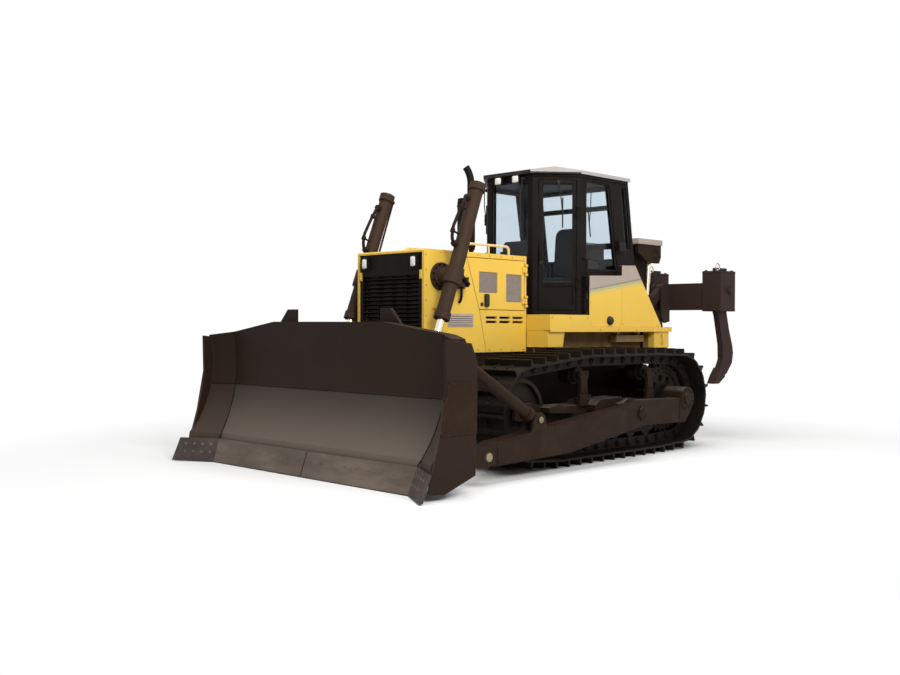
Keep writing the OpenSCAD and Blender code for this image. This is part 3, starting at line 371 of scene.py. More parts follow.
MATERIALS = {
    "yellow": paint("yellow_paint", YELLOW, YELLOW_WORN),
    "cream": paint("rail_paint", CREAM, rgb(0.45, 0.40, 0.30)),
    "striped": striped_paint("striped_paint"),
    "pale": paint("pale_paint", PALE, rgb(0.30, 0.28, 0.26), 0.45),
    "roof": roof_paint("roof_paint"),
    "deck": deck_paint("deck_paint"),
    "frame": dust_and_top_highlight_paint("frame_paint"),
    "case": case_paint("case_paint"),
    "ripper": dark_paint("ripper_paint", rgb(0.036, 0.022, 0.018), rgb(0.085, 0.065, 0.052)),
    "pin": bare_steel("pin_steel", rgb(0.26, 0.20, 0.13), 0.50, 0.20),
    "brown": dark_paint("brown_paint", BROWN, BROWN_WORN),
    "barrel": dark_paint("barrel_paint", rgb(0.050, 0.030, 0.020), rgb(0.10, 0.075, 0.055)),
    "black": dark_paint("black_paint", BLACK, rgb(0.032, 0.027, 0.023), 0.42),
    "blade": worn_blade_with_reflection("blade_paint", 1.0),
    "wing": worn_blade_with_reflection("wing_paint", 0.35),
    "edge": bare_steel("edge_steel", rgb(0.150, 0.116, 0.092), 0.50, 0.20, (1, 0.2, 1), 1.4),
    "end_bit": bare_steel("end_bit_steel", rgb(0.070, 0.054, 0.047), 0.50, 0.20, (1, 0.3, 1), 1.6),
    "track": bare_steel("track_steel", rgb(0.012, 0.0080, 0.0055), 0.52, 0.20, rub=2.6),
    "cast": bare_steel("cast_iron", rgb(0.017, 0.0115, 0.0080), 0.54, 0.20),
    "bright": bare_steel("bright_steel", rgb(0.46, 0.42, 0.37), 0.34, 0.85, rub=1.4),
    "chrome": chromed("chrome"),
    "glass": pane_glass("pane_glass"),
    "lens": lens_glass("lens_glass"),
    "plastic": moulded("black_plastic", rgb(0.016, 0.015, 0.014)),
    "rubber": moulded("rubber", rgb(0.010, 0.0095, 0.009), 0.72),
    "cloth": woven("seat_cloth", rgb(0.016, 0.0155, 0.017)),
}

NODE_FINISH = {
    "yellow": "hood engine_door_left engine_door_right",
    "deck": "deck",
    "frame": "track_frames",
    "cream": "hood_rails",
    "striped": "side_tanks",
    "roof": "cab_roof",
    "case": "main_frame",
    "brown": "ripper_tower push_arms braces ripper_barrels",
    "ripper": "ripper_lower_links ripper_upper_links ripper_beam ripper_shanks",
    "barrel": "lift_barrel_left lift_barrel_right lift_brackets",
    "black": "exhaust_stack grille cab_frame cab_door_left cab_door_right roof_lamps headlamps",
    "blade": "moldboard",
    "wing": "blade_wings",
    "edge": "cutting_edge",
    "end_bit": "end_bits",
    "track": "tracks track_rollers carrier_rollers",
    "cast": "sprockets idlers engine",
    "chrome": "lift_rod_left lift_rod_right ripper_rods",
    "glass": "cab_glass door_glass_left door_glass_right",
    "plastic": "console",
    "cloth": "seat",
}
for finish, names in NODE_FINISH.items():
    for name in names.split():
        for part_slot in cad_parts[name].material_slots:
            part_slot.material = MATERIALS[finish]


# Mesh making


def basis(direction):
    """Two unit vectors square to a direction."""
    direction = direction.normalized()
    first = direction.cross(UP if abs(direction.z) < 0.9 else LEFT).normalized()
    return first, direction.cross(first)


def around(loop):
    """Neighbours in a closed row, the last with the first at the end."""
    return list(zip(loop, loop[1:] + loop[:1]))


def rect(x0, x1, z0, z1):
    return [(x0, z0), (x1, z0), (x1, z1), (x0, z1)]


def turns(count, shift=0.0):
    """Angles evenly round a circle."""
    return [2 * math.pi * (k + shift) / count for k in range(count)]


def bridge(bm, rings, closed=False):
    """Quads between rings of vertices, with flat ends unless the row of rings is closed."""
    for low, high in around(rings) if closed else zip(rings, rings[1:]):
        for (a, b), (d, c) in zip(around(low), around(high)):
            bm.faces.new((a, b, c, d))
    if not closed:
        bm.faces.new(rings[0][::-1])
        bm.faces.new(rings[-1])


def circle(bm, centre, first, second, radius, sides):
    spots = (centre + radius * (math.cos(a) * first + math.sin(a) * second) for a in turns(sides))
    return [bm.verts.new(spot) for spot in spots]


def sweep(bm, path, radius, sides=10, closed=False):
    """A round tube along a path."""
    first, _ = basis(path[1] - path[0])
    rings = []
    for i, point in enumerate(path):
        ahead = path[(i + 1) % len(path)] if closed else path[min(i + 1, len(path) - 1)]
        behind = path[i - 1] if closed or i else path[0]
        along = (ahead - behind).normalized()
        first = (first - along * first.dot(along)).normalized()
        rings.append(circle(bm, point, first, along.cross(first), radius, sides))
    bridge(bm, rings, closed)


def bead(bm, radius, *path):
    """A weld bead or thin bar through points."""
    sweep(bm, path, radius, 8)


def bead_round(bm, radius, outline):
    for a, b in around(outline):
        bead(bm, radius, a, b)


def lathe(bm, base, direction, profile, sides=24):
    """A turned part: profile is (distance along, radius) pairs in metres, its ends flat."""
    direction = direction.normalized()
    first, second = basis(direction)
    bridge(bm, [circle(bm, base + direction * d, first, second, r, sides) for d, r in profile])


def disc(bm, base, direction, length, radius, sides):
    lathe(bm, base, direction, [(0, radius), (length, radius)], sides)


def bolt(bm, base, direction, radius, height):
    """A hexagon head on a washer, its top edge chamfered."""
    lathe(bm, base, direction, [(-0.002, radius * 1.45), (height * 0.22, radius * 1.45)], 12)
    lathe(bm, base, direction, [(0, radius), (height * 0.85, radius), (height, radius * 0.86)], 6)


def bolt_ring(bm, centre, direction, ring, count, radius):
    first, second = basis(direction)
    for a in turns(count, 0.5):
        spot = centre + ring * (math.cos(a) * first + math.sin(a) * second)
        bolt(bm, spot, direction, radius, radius * 1.2)


def slab(bm, outline, thickness):
    """A plate from a loop of points, thickened by a vector."""
    bridge(bm, [[bm.verts.new(p) for p in outline], [bm.verts.new(p + thickness) for p in outline]])


def box(bm, low, high, bevel=0.003):
    """A block between two corners with rounded edges."""
    made = bmesh.ops.create_cube(bm, size=1.0)["verts"]
    for v in made:
        v.co = Vector(((low[i] + high[i]) / 2 + v.co[i] * abs(high[i] - low[i]) for i in range(3)))
    edges = list({e for v in made for e in v.link_edges})
    bmesh.ops.bevel(bm, geom=edges, offset=bevel, segments=2, profile=0.6, affect="EDGES")


def pad(bm, centre, across, along, levels, corner=5, sides=40):
    """A rounded rectangle raised in levels of (height, scale); across and along are its half sizes."""
    out = across.cross(along).normalized()

    def spread(value):
        return math.copysign(abs(value) ** (2 / corner), value)

    def ring(height, scale):
        shares = [(spread(math.cos(a)) * scale, spread(math.sin(a)) * scale) for a in turns(sides)]
        return [bm.verts.new(centre + u * across + v * along + height * out) for u, v in shares]

    bridge(bm, [ring(height, scale) for height, scale in levels])


def bent(points, radius, steps=5):
    """A path through points with its corners rounded."""
    path = [points[0]]
    for before, corner, after in zip(points, points[1:], points[2:]):
        start = corner + (before - corner).normalized() * radius
        end = corner + (after - corner).normalized() * radius
        for i in range(steps + 1):
            t = i / steps
            path.append(start * (1 - t) ** 2 + corner * (2 * t * (1 - t)) + end * t**2)
    return path + [points[-1]]


def make(name, body, finish, build, smooth_angle=35):
    """A mesh made by build(bm), with its finish, riding on a body."""
    bm = bmesh.new()
    build(bm)
    bmesh.ops.recalc_face_normals(bm, faces=bm.faces)
    mesh = bpy.data.meshes.new(name)
    bm.to_mesh(mesh)
    bm.free()
    mesh.shade_smooth()
    mesh.set_sharp_from_angle(angle=math.radians(smooth_angle))
    mesh.materials.append(MATERIALS[finish])
    made = bpy.data.objects.new(name, mesh)
    bpy.context.scene.collection.objects.link(made)
    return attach(made, body)


def piece(body, finish, smooth_angle=35):
    """Decorator: turns a function that builds a mesh into the piece of that name."""
    return lambda build: make(build.__name__, body, finish, build, smooth_angle)


def both(body, finish):
    """Decorator: one piece with a left and a right half, each built by its side."""

    def decorate(build):
        def halves(bm):
            for side in SIDES:
                build(bm, side)

        return make(build.__name__, body, finish, halves)

    return decorate


def pair(body, finish):
    """Decorator: a left and a right piece, each on its own side's body."""

    def decorate(build):
        for side, hand in zip(SIDES, ("left", "right")):
            make(f"{build.__name__}_{hand}", f"{body}_{hand}", finish, lambda bm: build(bm, side))

    return decorate


# Camera, light and floor


def set_camera():
    """The photograph's camera, fitted to the machine."""
    yaw, pitch, roll = (math.radians(a) for a in (-135.37, -0.688, 0.227))
    focal_px, image_px, sensor = 1023.957, 900, 36
    look = Vector((math.cos(pitch) * math.cos(yaw), math.cos(pitch) * math.sin(yaw), math.sin(pitch)))
    level = Vector((math.sin(yaw), -math.cos(yaw), 0))
    upright = level.cross(look)
    right = math.cos(roll) * level + math.sin(roll) * upright
    top = -math.sin(roll) * level + math.cos(roll) * upright
    data = bpy.data.cameras.new("camera")
    data.sensor_width = sensor
    data.lens = focal_px / image_px * sensor
    camera = bpy.data.objects.new("camera", data)
    turn = Matrix((right, top, -look)).transposed().to_4x4()
    camera.matrix_world = Matrix.Translation(at(10336.1, 7716.5, 1431.1)) @ turn
    bpy.context.scene.collection.objects.link(camera)
    bpy.context.scene.camera = camera


def seen_directly(tree):
    """1 for rays from the camera, from gloss and through glass."""
    path = tree.nodes.new("ShaderNodeLightPath")
    total = path.outputs["Is Camera Ray"]
    for kind in ("Is Glossy Ray", "Is Transmission Ray"):
        add = tree.nodes.new("ShaderNodeMath")
        add.operation = "MAXIMUM"
        tree.links.new(total, add.inputs[0])
        tree.links.new(path.outputs[kind], add.inputs[1])
        total = add.outputs[0]
    return total


def set_world(strength):
    """White where it is seen, and weaker where it lights the machine."""
    world = bpy.data.worlds.new("studio")
    world.use_nodes = True
    tree = world.node_tree
    shown = tree.nodes.new("ShaderNodeMapRange")
    tree.links.new(seen_directly(tree), shown.inputs["Value"])
    shown.inputs["To Min"].default_value = strength
    shown.inputs["To Max"].default_value = 1.0
    background = tree.nodes["Background"]
    background.inputs["Color"].default_value = (1, 1, 1, 1)
    tree.links.new(shown.outputs[0], background.inputs["Strength"])
    bpy.context.scene.world = world


def add_light(name, place, aim, size, power):
    data = bpy.data.lights.new(name, "AREA")
    data.shape, data.size, data.energy = "DISK", size, power
    light = bpy.data.objects.new(name, data)
    light.location = place
    light.rotation_mode = "QUATERNION"
    light.rotation_quaternion = (aim - place).to_track_quat("-Z", "Y")
    bpy.context.scene.collection.objects.link(light)


def set_floor():
    """A wide pale disc that keeps the shadow near the machine and fades to white far off."""
    bm = bmesh.new()
    bmesh.ops.create_circle(bm, cap_ends=True, radius=90, segments=96)
    mesh = bpy.data.meshes.new("floor")
    bm.to_mesh(mesh)
    bm.free()
    floor = bpy.data.objects.new("floor", mesh)
    bpy.context.scene.collection.objects.link(floor)
    surface = Surface("floor", Specular_IOR_Level=0.1)
    surface.finish(rgb(0.90, 0.90, 0.895), 0.9)
    tree = surface.tree
    reach = surface.node("ShaderNodeVectorMath", {0: surface.place}, operation="LENGTH").outputs["Value"]
    far = surface.times(surface.step(reach, 3.2, 6.5), seen_directly(tree))
    white = surface.node("ShaderNodeEmission", {"Color": (1, 1, 1, 1), "Strength": 1.0})
    links = {0: far, 1: surface.shader.outputs[0], 2: white.outputs[0]}
    blend = surface.node("ShaderNodeMixShader", links)
    tree.links.new(blend.outputs[0], tree.nodes["Material Output"].inputs["Surface"])
    mesh.materials.append(surface.material)


bpy.context.scene.view_settings.view_transform = "Standard"
set_camera()
set_world(0.46)
set_floor()
add_light("overhead", Vector((1, 1, 9)), Vector((0, 0, 1)), 8, 520)
add_light("key", Vector((5, 9, 7)), Vector((0, 0, 1.2)), 5, 760)


# Tracks and track frames

BELT = [
    (x, z, radius + LINK_H / 2)
    for x, z, radius in (
        (0, SPROCKET_Z, SPROCKET_R),
        (470, CHAIN_H + ROLLER_R, ROLLER_R),
        (WHEELBASE - 420, CHAIN_H + ROLLER_R, ROLLER_R),
        (WHEELBASE, IDLER_Z, IDLER_R),
        (CARRIER_X[1], CARRIER_Z, CARRIER_R),
        (CARRIER_X[0], CARRIER_Z, CARRIER_R),
    )
]


def belt_runs():
    """The chain line as (straight start, straight length, outward angle, circle after it, its turn)."""
    straights = []
    for (ax, az, ar), (bx, bz, br) in around(BELT):
        span = math.hypot(bx - ax, bz - az)
        angle = math.atan2(bz - az, bx - ax) - math.acos((ar - br) / span)
        straights.append((angle, math.sqrt(span**2 - (ar - br) ** 2)))
    runs = []
    for ((angle, length), (after, _)), ((x, z, radius), ring) in zip(around(straights), around(BELT)):
        start = (x + radius * math.cos(angle), z + radius * math.sin(angle))
        runs.append((start, length, angle, ring, (after - angle) % (2 * math.pi)))
    return runs


RUNS = belt_runs()
LOOP = sum(length + ring[2] * turn for _, length, _, ring, turn in RUNS)
PITCH = LOOP / SHOES
SHOE_START = RUNS[0][1] + RUNS[0][3][2] * RUNS[0][4] + PITCH / 4


def on_belt(shoe, along, out):
    """Side view point (x, z) by shoe number round the chain, and the outward direction there."""
    s = (SHOE_START + shoe * PITCH) % LOOP
    for (x, z), length, angle, (cx, cz, radius), turn in RUNS:
        if s <= length:
            x, z = x - s * math.sin(angle), z + s * math.cos(angle)
            break
        s -= length
        if s <= radius * turn:
            angle += s / radius
            x, z = cx + radius * math.cos(angle), cz + radius * math.sin(angle)
            break
        s -= radius * turn
    x += out * math.cos(angle) - along * math.sin(angle)
    z += out * math.sin(angle) + along * math.cos(angle)
    return x, z, Vector((math.cos(angle), 0, math.sin(angle)))


@both("chassis", "cast")
def track_bolts(bm, side):
    """Four bolts on each shoe."""
    for k in range(SHOES):
        for along in (-62, -6):
            x, z, out = on_belt(k, along, LINK_H / 2 + SHOE_T + 3)
            for rail in (-85, 85):
                bolt(bm, at(x, side * (TRACK_Y + rail), z), out, 0.015, 0.016)


@both("chassis", "track")
def track_links(bm, side):
    """Pin bosses on the outer sides of the chain rails, and the bushes between them."""
    boss = [(0, 0.040), (0.012, 0.040), (0.014, 0.022), (0.024, 0.022), (0.026, 0.018)]
    for k in range(SHOES):
        x, z, _ = on_belt(k + 0.5, 0, 0)
        for rail in (-1, 1):
            lathe(bm, at(x, side * (TRACK_Y + rail * 109), z), outward(side) * rail, boss, 16)
        disc(bm, at(x, side * (TRACK_Y - 61), z), outward(side), 0.122, 0.032, 12)


@both("chassis", "cast")
def undercarriage_bolts(bm, side):
    """Bolt circles of the sprocket, its bearing cover, the idler and the trunnion, and the post bolts."""
    circles = (
        (0, BEAM_OUT + 8, SPROCKET_Z, 0.105, 12, 0.010),
        (0, TRACK_Y + 45, SPROCKET_Z, 0.335, 27, 0.012),
        (WHEELBASE, TRACK_Y + 118, IDLER_Z, 0.072, 8, 0.010),
        (ARM_PIVOT[0], BEAM_OUT + 14, ARM_PIVOT[1], 0.128, 10, 0.010),
    )
    for x, y, z, ring, count, radius in circles:
        bolt_ring(bm, at(x, side * y, z), outward(side), ring, count, radius)
    for x in CARRIER_X:
        for dx, dz in ((-48, 15), (48, 15), (-30, -180), (30, -180)):
            bolt(bm, at(x + dx, side * (TRACK_Y + 190), CARRIER_Z + dz), outward(side), 0.013, 0.014)


@both("chassis", "brown")
def frame_seams(bm, side):
    """Weld beads on the outer beams, and grease caps on the recoil housings."""
    y = side * (BEAM_OUT + 1)
    for x in (150, 880):
        bead(bm, 0.006, at(x, y, 360), at(x, y, 600))
    cap = [(-0.004, 0.05), (0.012, 0.05), (0.018, 0.03), (0.04, 0.028)]
    lathe(bm, at(1400, side * TRACK_Y, 650), UP, cap)


@both("blade", "pin")
def arm_pins(bm, side):
    """Pale pin ends on the blade forks and on both ends of the braces."""
    for (x, z), proud, r in ((ARM_FRONT, 50, 0.040), (BRACE_LOW, 10, 0.031), (BRACE_HIGH, 10, 0.031)):
        end = [(-0.002, r), (0.005, r), (0.009, r * 0.85), (0.009, r * 0.3)]
        lathe(bm, at(x, side * (ARM_OUT + proud), z), outward(side), end)


@both("blade", "brown")
def arm_trim(bm, side):
    """Weld beads along the push arms and at their front, and the trunnion caps' bolts."""
    y = side * (ARM_OUT + 0.5)
    bead(bm, 0.005, at(1330, y, 592), at(3440, y, 370))
    bead(bm, 0.005, at(1330, y, 357), at(2400, y, 205), at(3430, y, 175))
    bead(bm, 0.007, at(3455, y, 170), at(3455, y, 372))
    bolt_ring(bm, at(ARM_PIVOT[0], side * (ARM_OUT + 22), ARM_PIVOT[1]), outward(side), 0.045, 6, 0.010)


# Blade


def edge_point(v):
    """Side view point on the cutting edge's face, v above its tip."""
    return EDGE_TIP[0] - v * math.sin(EDGE_LEAN), EDGE_TIP[1] + v * math.cos(EDGE_LEAN)


def face_centre():
    """Side view centre of the curved face."""
    foot, top = Vector(edge_point(EDGE_TALL)), Vector((EDGE_TIP[0] - 285, BLADE_H))
    chord = top - foot
    out = Vector((chord.y, -chord.x)).normalized()
    return (foot + top) / 2 + out * math.sqrt(FACE_R**2 - (chord.length / 2) ** 2)


FACE = face_centre()


def face_x(z):
    return FACE.x - math.sqrt(FACE_R**2 - (z - FACE.y) ** 2)


def fold_at(z):
    """Where the face meets the fold of the wing, as distance from the middle."""
    return FOLD_Y - (face_x(z) - FOLD_X) * math.tan(WING / 2)


def on_wing(x, y, z, side):
    """A point of the unfolded blade beyond the fold line, turned forward with the wing."""
    c, s = math.cos(WING), math.sin(WING)
    dx, dy = x - FOLD_X, y - FOLD_Y
    return at(FOLD_X + c * dx + s * dy, side * (FOLD_Y - s * dx + c * dy), z)


def plow_bolt(bm, base, direction, r=0.017):
    lathe(bm, base, direction, [(-0.002, r), (0.003, r * 0.94), (0.005, r * 0.7), (0.005, r * 0.3)], 14)


@both("blade", "edge")
def edge_bolts(bm, side):
    """Plow bolts: one row along the cutting edge, two on each end bit."""
    ahead = Vector((math.cos(EDGE_LEAN), 0, math.sin(EDGE_LEAN)))
    x, z = edge_point(160)
    for y in range(90, 1480, 165):
        plow_bolt(bm, at(x, side * y, z), ahead)
    turned = Vector((math.cos(WING) * ahead.x, -side * math.sin(WING) * ahead.x, ahead.z))
    for v in (95, 180):
        x, z = edge_point(v)
        for y in (1640, 1735, 1830, 1925):
            plow_bolt(bm, on_wing(x, y, z, side), turned)


@piece("blade", "black")
def face_seams(bm):
    """Weld lines across the face and up each fold, and the joint between the two cutting edges."""
    x, y = face_x(FACE_SEAM) + 1, fold_at(FACE_SEAM)
    bead(bm, 0.004, at(x, -y, FACE_SEAM), at(x, y, FACE_SEAM))
    bead(bm, 0.0035, *(at(ex, 0, ez) for ex, ez in (edge_point(4), edge_point(EDGE_TALL - 4))))
    heights = [EDGE_TALL + k * (BLADE_H - 353) / 24 for k in range(25)]
    start = 2 * FOLD_Y - y
    end = FOLD_Y + (END_Y - 32 - FOLD_Y + math.sin(WING) * (x - FOLD_X)) / math.cos(WING)
    for side in SIDES:
        bead(bm, 0.006, *(at(face_x(z) + 1, side * fold_at(z), z) for z in heights))
        bead(bm, 0.004, on_wing(x, start, FACE_SEAM, side), on_wing(x, end, FACE_SEAM, side))


@both("blade", "brown")
def end_plates(bm, side):
    """Lap plate on the middle of each blade end, with a bead along its rims."""
    corners = ((446, 525), (30, 525), (112, 955), (452, 955))
    outline = [at(EDGE_TIP[0] - x, side * END_Y, z) for x, z in corners]
    slab(bm, outline, outward(side) * 0.007)
    bead_round(bm, 0.006, [p + outward(side) * 0.004 for p in outline])


@piece("blade", "brown")
def blade_back(bm):
    """Weld beads along the two back beams, and the grease lines' clamps on the ribs."""
    back = EDGE_TIP[0] - 450
    for z in (545, BLADE_H - 402):
        bead(bm, 0.007, at(back + 48, -1480, z), at(back + 48, 1480, z))
    for y in (345, 1015, 1345, -345, -1015, -1345):
        for z in (640, 900):
            bolt(bm, at(back - 10, y, z), -AHEAD, 0.012, 0.012)


# Lift cylinders

LIFT_DOWN = Vector((ROD_EYE[0] - LIFT_PIVOT[0], 0, ROD_EYE[1] - LIFT_PIVOT[1])).normalized()
LIFT_FRONT = Vector((-LIFT_DOWN.z, 0, LIFT_DOWN.x))


def on_barrel(along, front, y):
    """A point by distance down the cylinder, distance in front of its axis, and y."""
    return at(LIFT_PIVOT[0], y, LIFT_PIVOT[1]) + (along * LIFT_DOWN + front * LIFT_FRONT) / 1000


@pair("lift_barrel", "brown")
def lift_pipes(bm, side):
    """Bowed steel pipe down the front of the barrel and a straight one behind it, with ports and clamps."""
    y = side * (LIFT_Y - 12)
    bowed = [(-810, 60), (-810, 100), (-640, 138), (-455, 165), (-350, 140), (-310, 105), (-310, 60)]
    sweep(bm, bent([on_barrel(a, f, y) for a, f in bowed], 0.035), 0.017)
    straight = [(-955, -60), (-955, -90), (-120, -106), (-120, -80)]
    sweep(bm, bent([on_barrel(a, f, y) for a, f in straight], 0.03), 0.011)
    for a, f in ((-690, 126), (-420, 157)):
        centre = on_barrel(a, f, y)
        disc(bm, centre - LIFT_DOWN * 0.018, LIFT_DOWN, 0.036, 0.024, 14)
        bead(bm, 0.011, centre, centre - LIFT_FRONT * ((f - BARREL_R + 4) / 1000))
    port = [(0, 0.026), (0.024, 0.026), (0.026, 0.018), (0.036, 0.018)]
    for a in (-955, -120):
        lathe(bm, on_barrel(a, 4 - BARREL_R, y), -LIFT_FRONT, port, 16)
    port = [(0, 0.034), (0.03, 0.034), (0.032, 0.026), (0.05, 0.026)]
    for a in (-810, -310):
        lathe(bm, on_barrel(a, BARREL_R - 4, y), LIFT_FRONT, port, 16)


@pair("lift_barrel", "brown")
def lift_clamps(bm, side):
    """Gland bolts at the rod end, bolts on the head, and a band at each end."""
    y = side * LIFT_Y
    bolt_ring(bm, on_barrel(455, 0, y), LIFT_DOWN, 0.060, 8, 0.009)
    bolt_ring(bm, on_barrel(-1000, 0, y), -LIFT_DOWN, 0.055, 8, 0.009)
    for a in (-925, 385):
        disc(bm, on_barrel(a, 0, y) - LIFT_DOWN * 0.006, LIFT_DOWN, 0.012, 0.079, 36)


@both("chassis", "black")
def manifold(bm, side):
    """Ports and steel pipes on the manifold behind each lift bracket, and the bracket's bolt circle."""
    bolt_ring(bm, at(LIFT_PIVOT[0], side * 526, LIFT_PIVOT[1]), outward(side), 0.122, 12, 0.010)
    port = [(0, 0.024), (0.022, 0.024), (0.024, 0.018), (0.034, 0.018)]
    for x, z in ((2885, 1845), (2930, 1885)):
        lathe(bm, at(x, side * 594, z), outward(side), port, 12)
    for route in (((560, 1914), (560, 1975), (512, 1995)), ((545, 1816), (545, 1700), (512, 1660))):
        sweep(bm, bent([at(2908, side * y, z) for y, z in route], 0.03), 0.014)


# Hood and lamps


@pair("engine_door", "pale")
def door_screens(bm, side):
    """Perforated screens in the engine door's two openings: crossing wires on a sheet."""
    y = side * (HOOD_Y - 9.5)
    for x0, x1, z0, z1 in SCREENS:
        centre = at((x0 + x1) / 2, side * (HOOD_Y - 11), (z0 + z1) / 2)
        across, along = AHEAD * (-side * (x1 - x0) / 2000), UP * ((z1 - z0) / 2000)
        pad(bm, centre, across, along, [(0, 1.0), (0.0015, 1.0)], 12)
        wires = [rect(x, x, z0 + 3, z1 - 3)[1:3] for x in range(x0 + MESH, x1 - MESH + 1, MESH)]
        wires += [rect(x0 + 3, x1 - 3, z, z)[:2] for z in range(z0 + MESH, z1 - MESH + 1, MESH)]
        for wire in wires:
            sweep(bm, [at(x, y, z) for x, z in wire], 0.0024, 6)


@pair("engine_door", "plastic")
def door_pull(bm, side):
    """Black grip over the engine door's handle, and its lock."""
    grip = [(-0.004, 1.0), (0.020, 1.0), (0.030, 0.93), (0.034, 0.72)]
    pad(bm, at(2495, side * HOOD_Y, 1690), AHEAD * (-side * 0.027), UP * 0.068, grip, 6)
    lock = [(0, 0.020), (0.008, 0.020), (0.012, 0.014)]
    lathe(bm, at(2560, side * HOOD_Y, 1650), outward(side), lock, 20)


@both("chassis", "yellow")
def hood_trim(bm, side):
    """Rows of small bolts along the hood's edges and seams, and the latches near its front."""
    out, y = outward(side), side * HOOD_Y
    spots = [(HOOD_FRONT - 28, z) for z in range(1230, 2150, 150)]
    spots += [(x, z) for x in range(1900, 3340, 180) for z in (HOOD_TOP - 22, 1180)]
    for x, z in spots:
        bolt(bm, at(x, y, z), out, 0.008, 0.008)
    for x in range(2000, 3300, 260):
        bolt(bm, at(x, side * 430, HOOD_TOP), UP, 0.010, 0.009)
    latch = [(0, 0.016), (0.014, 0.016), (0.016, 0.011), (0.034, 0.011), (0.036, 0.008)]
    lathe(bm, at(3252, y, 1600), out, latch, 16)
    box(bm, at(3216, y + side * 24, 1590), at(3268, y + side * 34, 1610))
    for z in (1905, 1955):
        disc(bm, at(HOOD_FRONT - 2, side * 452, z), AHEAD, 0.010, 0.013, 14)
    box(bm, at(HOOD_FRONT - 11, side * 436, 1885), at(HOOD_FRONT + 6, side * 468, 1975))


@both("chassis", "pale")
def side_louvres(bm, side):
    """Pale louvre panel low on each side of the hood: a thin sheet with five pressed slats."""
    x0, x1, z0, z1, rise = 2690, 3060, 1414, 1547, 22
    out = outward(side)
    slab(bm, [at(x, side * HOOD_Y, z) for x, z in rect(x0, x1, z0, z1)], out * 0.004)
    for low in range(z0 + rise, z0 + 6 * rise, rise):
        slat = [at(x, side * HOOD_Y, z) for x, z in rect(x0 + 25, x1 - 25, low, low + 14)]
        top = [p + out * (0.012 if i < 2 else 0.004) for i, p in enumerate(slat)]
        bridge(bm, [[bm.verts.new(p) for p in row] for row in (slat, top)])


@piece("chassis", "black")
def stack_clamps(bm):
    """Clamp bands round the muffler and the tail pipe, with their bolts."""
    muffler, tail = (STACK_X, STACK_Y, 96.5), (STACK_X - TAIL, STACK_Y + TAIL, 39.5)
    for (x, y, radius), rise in ((muffler, 75), (muffler, 500), (tail, 625)):
        r, z = radius / 1000, HOOD_TOP + rise
        lathe(bm, at(x, y, z), UP, [(0, r), (0.003, r + 0.003), (0.022, r + 0.003), (0.025, r)], 32)
        bead(bm, 0.008, *(at(x - radius - 8, y + dy, z + 12) for dy in (-22, 22)))


def lamp(place, side):
    return at(place[0], side * place[1], place[2])


@both("chassis", "lens")
def lamp_lenses(bm, side):
    """Domed lenses of the headlamps and of the roof lamps, front and rear."""
    dome = [(-0.002, 1.0), (0.006, 0.97), (0.011, 0.82), (0.014, 0.5), (0.015, 0.15)]
    pad(bm, lamp(HEADLAMP, side), LEFT * 0.034, UP * 0.049, dome, 6)
    pad(bm, lamp(ROOF_LAMP, side), LEFT * 0.044, UP * 0.038, dome, 6)
    pad(bm, at(REAR_HIGH - 100, side * 305, CAB_TOP + 14), -LEFT * 0.052, UP * 0.018, dome, 6)


@both("chassis", "plastic")
def lamp_rims(bm, side):
    """Raised rims round the front lenses, and the headlamps' bolts."""
    rim = [(-0.004, 1.0), (0.003, 1.0), (0.006, 0.95), (0.004, 0.86)]
    pad(bm, lamp(HEADLAMP, side), LEFT * 0.041, UP * 0.056, rim, 6)
    pad(bm, lamp(ROOF_LAMP, side), LEFT * 0.053, UP * 0.045, rim, 6)
    x, y, z = HEADLAMP
    for end in (-48, 48):
        bolt(bm, at(x - 14, side * y + end, z), AHEAD, 0.006, 0.005)


# Cab


def rear_at(z):
    """How far back the cab's rear wall stands at a height."""
    return REAR_LOW + max(0, z - WAIST) / (CAB_TOP - WAIST) * (REAR_HIGH - REAR_LOW)


def on_wall(along, out, z, side):
    """A point on the angled door wall: distance from its front corner, distance out of it, and height."""
    x = CAB_FRONT + along * WALL_DIR.x + out * WALL_DIR.y
    y = CAB_FRONT_Y + along * WALL_DIR.y - out * WALL_DIR.x
    return at(x, side * y, z)


def seal(bm, outline):
    """A rubber strip round a window."""
    sweep(bm, [a.lerp(b, t) for a, b in around(outline) for t in (0.02, 0.5, 0.98)], 0.009, 8, True)


@piece("chassis", "rubber")
def window_seals(bm):
    """Strips round the windscreen, the rear window, and the side and quarter windows."""
    seal(bm, [at(CAB_FRONT - SEAL_IN, y, z) for y, z in rect(-270, 270, 2190, WINDOW_TOP)])
    rear_y = CAB_Y - 130
    seal(bm, [at(rear_at(z) + SEAL_IN, y, z) for y, z in rect(-rear_y, rear_y, 2230, WINDOW_TOP)])
    front_x = SIDE_X - 95
    window = [(465, WINDOW_LOW), (front_x, WINDOW_LOW), (front_x, WINDOW_TOP), (640, WINDOW_TOP)]
    quarter = [(rear_at(z) + dx, z) for dx, z in rect(50, 160, 2330, WINDOW_TOP)]
    for side in SIDES:
        for outline in (window, quarter):
            seal(bm, [at(x, side * (CAB_Y - SEAL_IN), z) for x, z in outline])


@pair("cab_door", "rubber")
def door_seal(bm, side):
    seal(bm, [on_wall(a, -SEAL_IN, z, side) for a, z in rect(*PANE_X, *PANE_Z)])


def wiper(bm, pivot, out, down, across, reach):
    """A wiper on its pivot: a boss, a bent arm and a blade."""
    lathe(bm, pivot, out, [(0, 0.020), (0.020, 0.020), (0.024, 0.014), (0.040, 0.012)], 16)
    start = pivot + out * 0.034
    mid = start + down * (reach * 0.55) + across * 0.03
    tip = start + down * reach + across * 0.05 - out * 0.024
    bead(bm, 0.006, start, mid, tip)
    bead(bm, 0.008, *(tip + down * (reach * share) - out * 0.002 for share in (-0.52, 0, 0.42)))


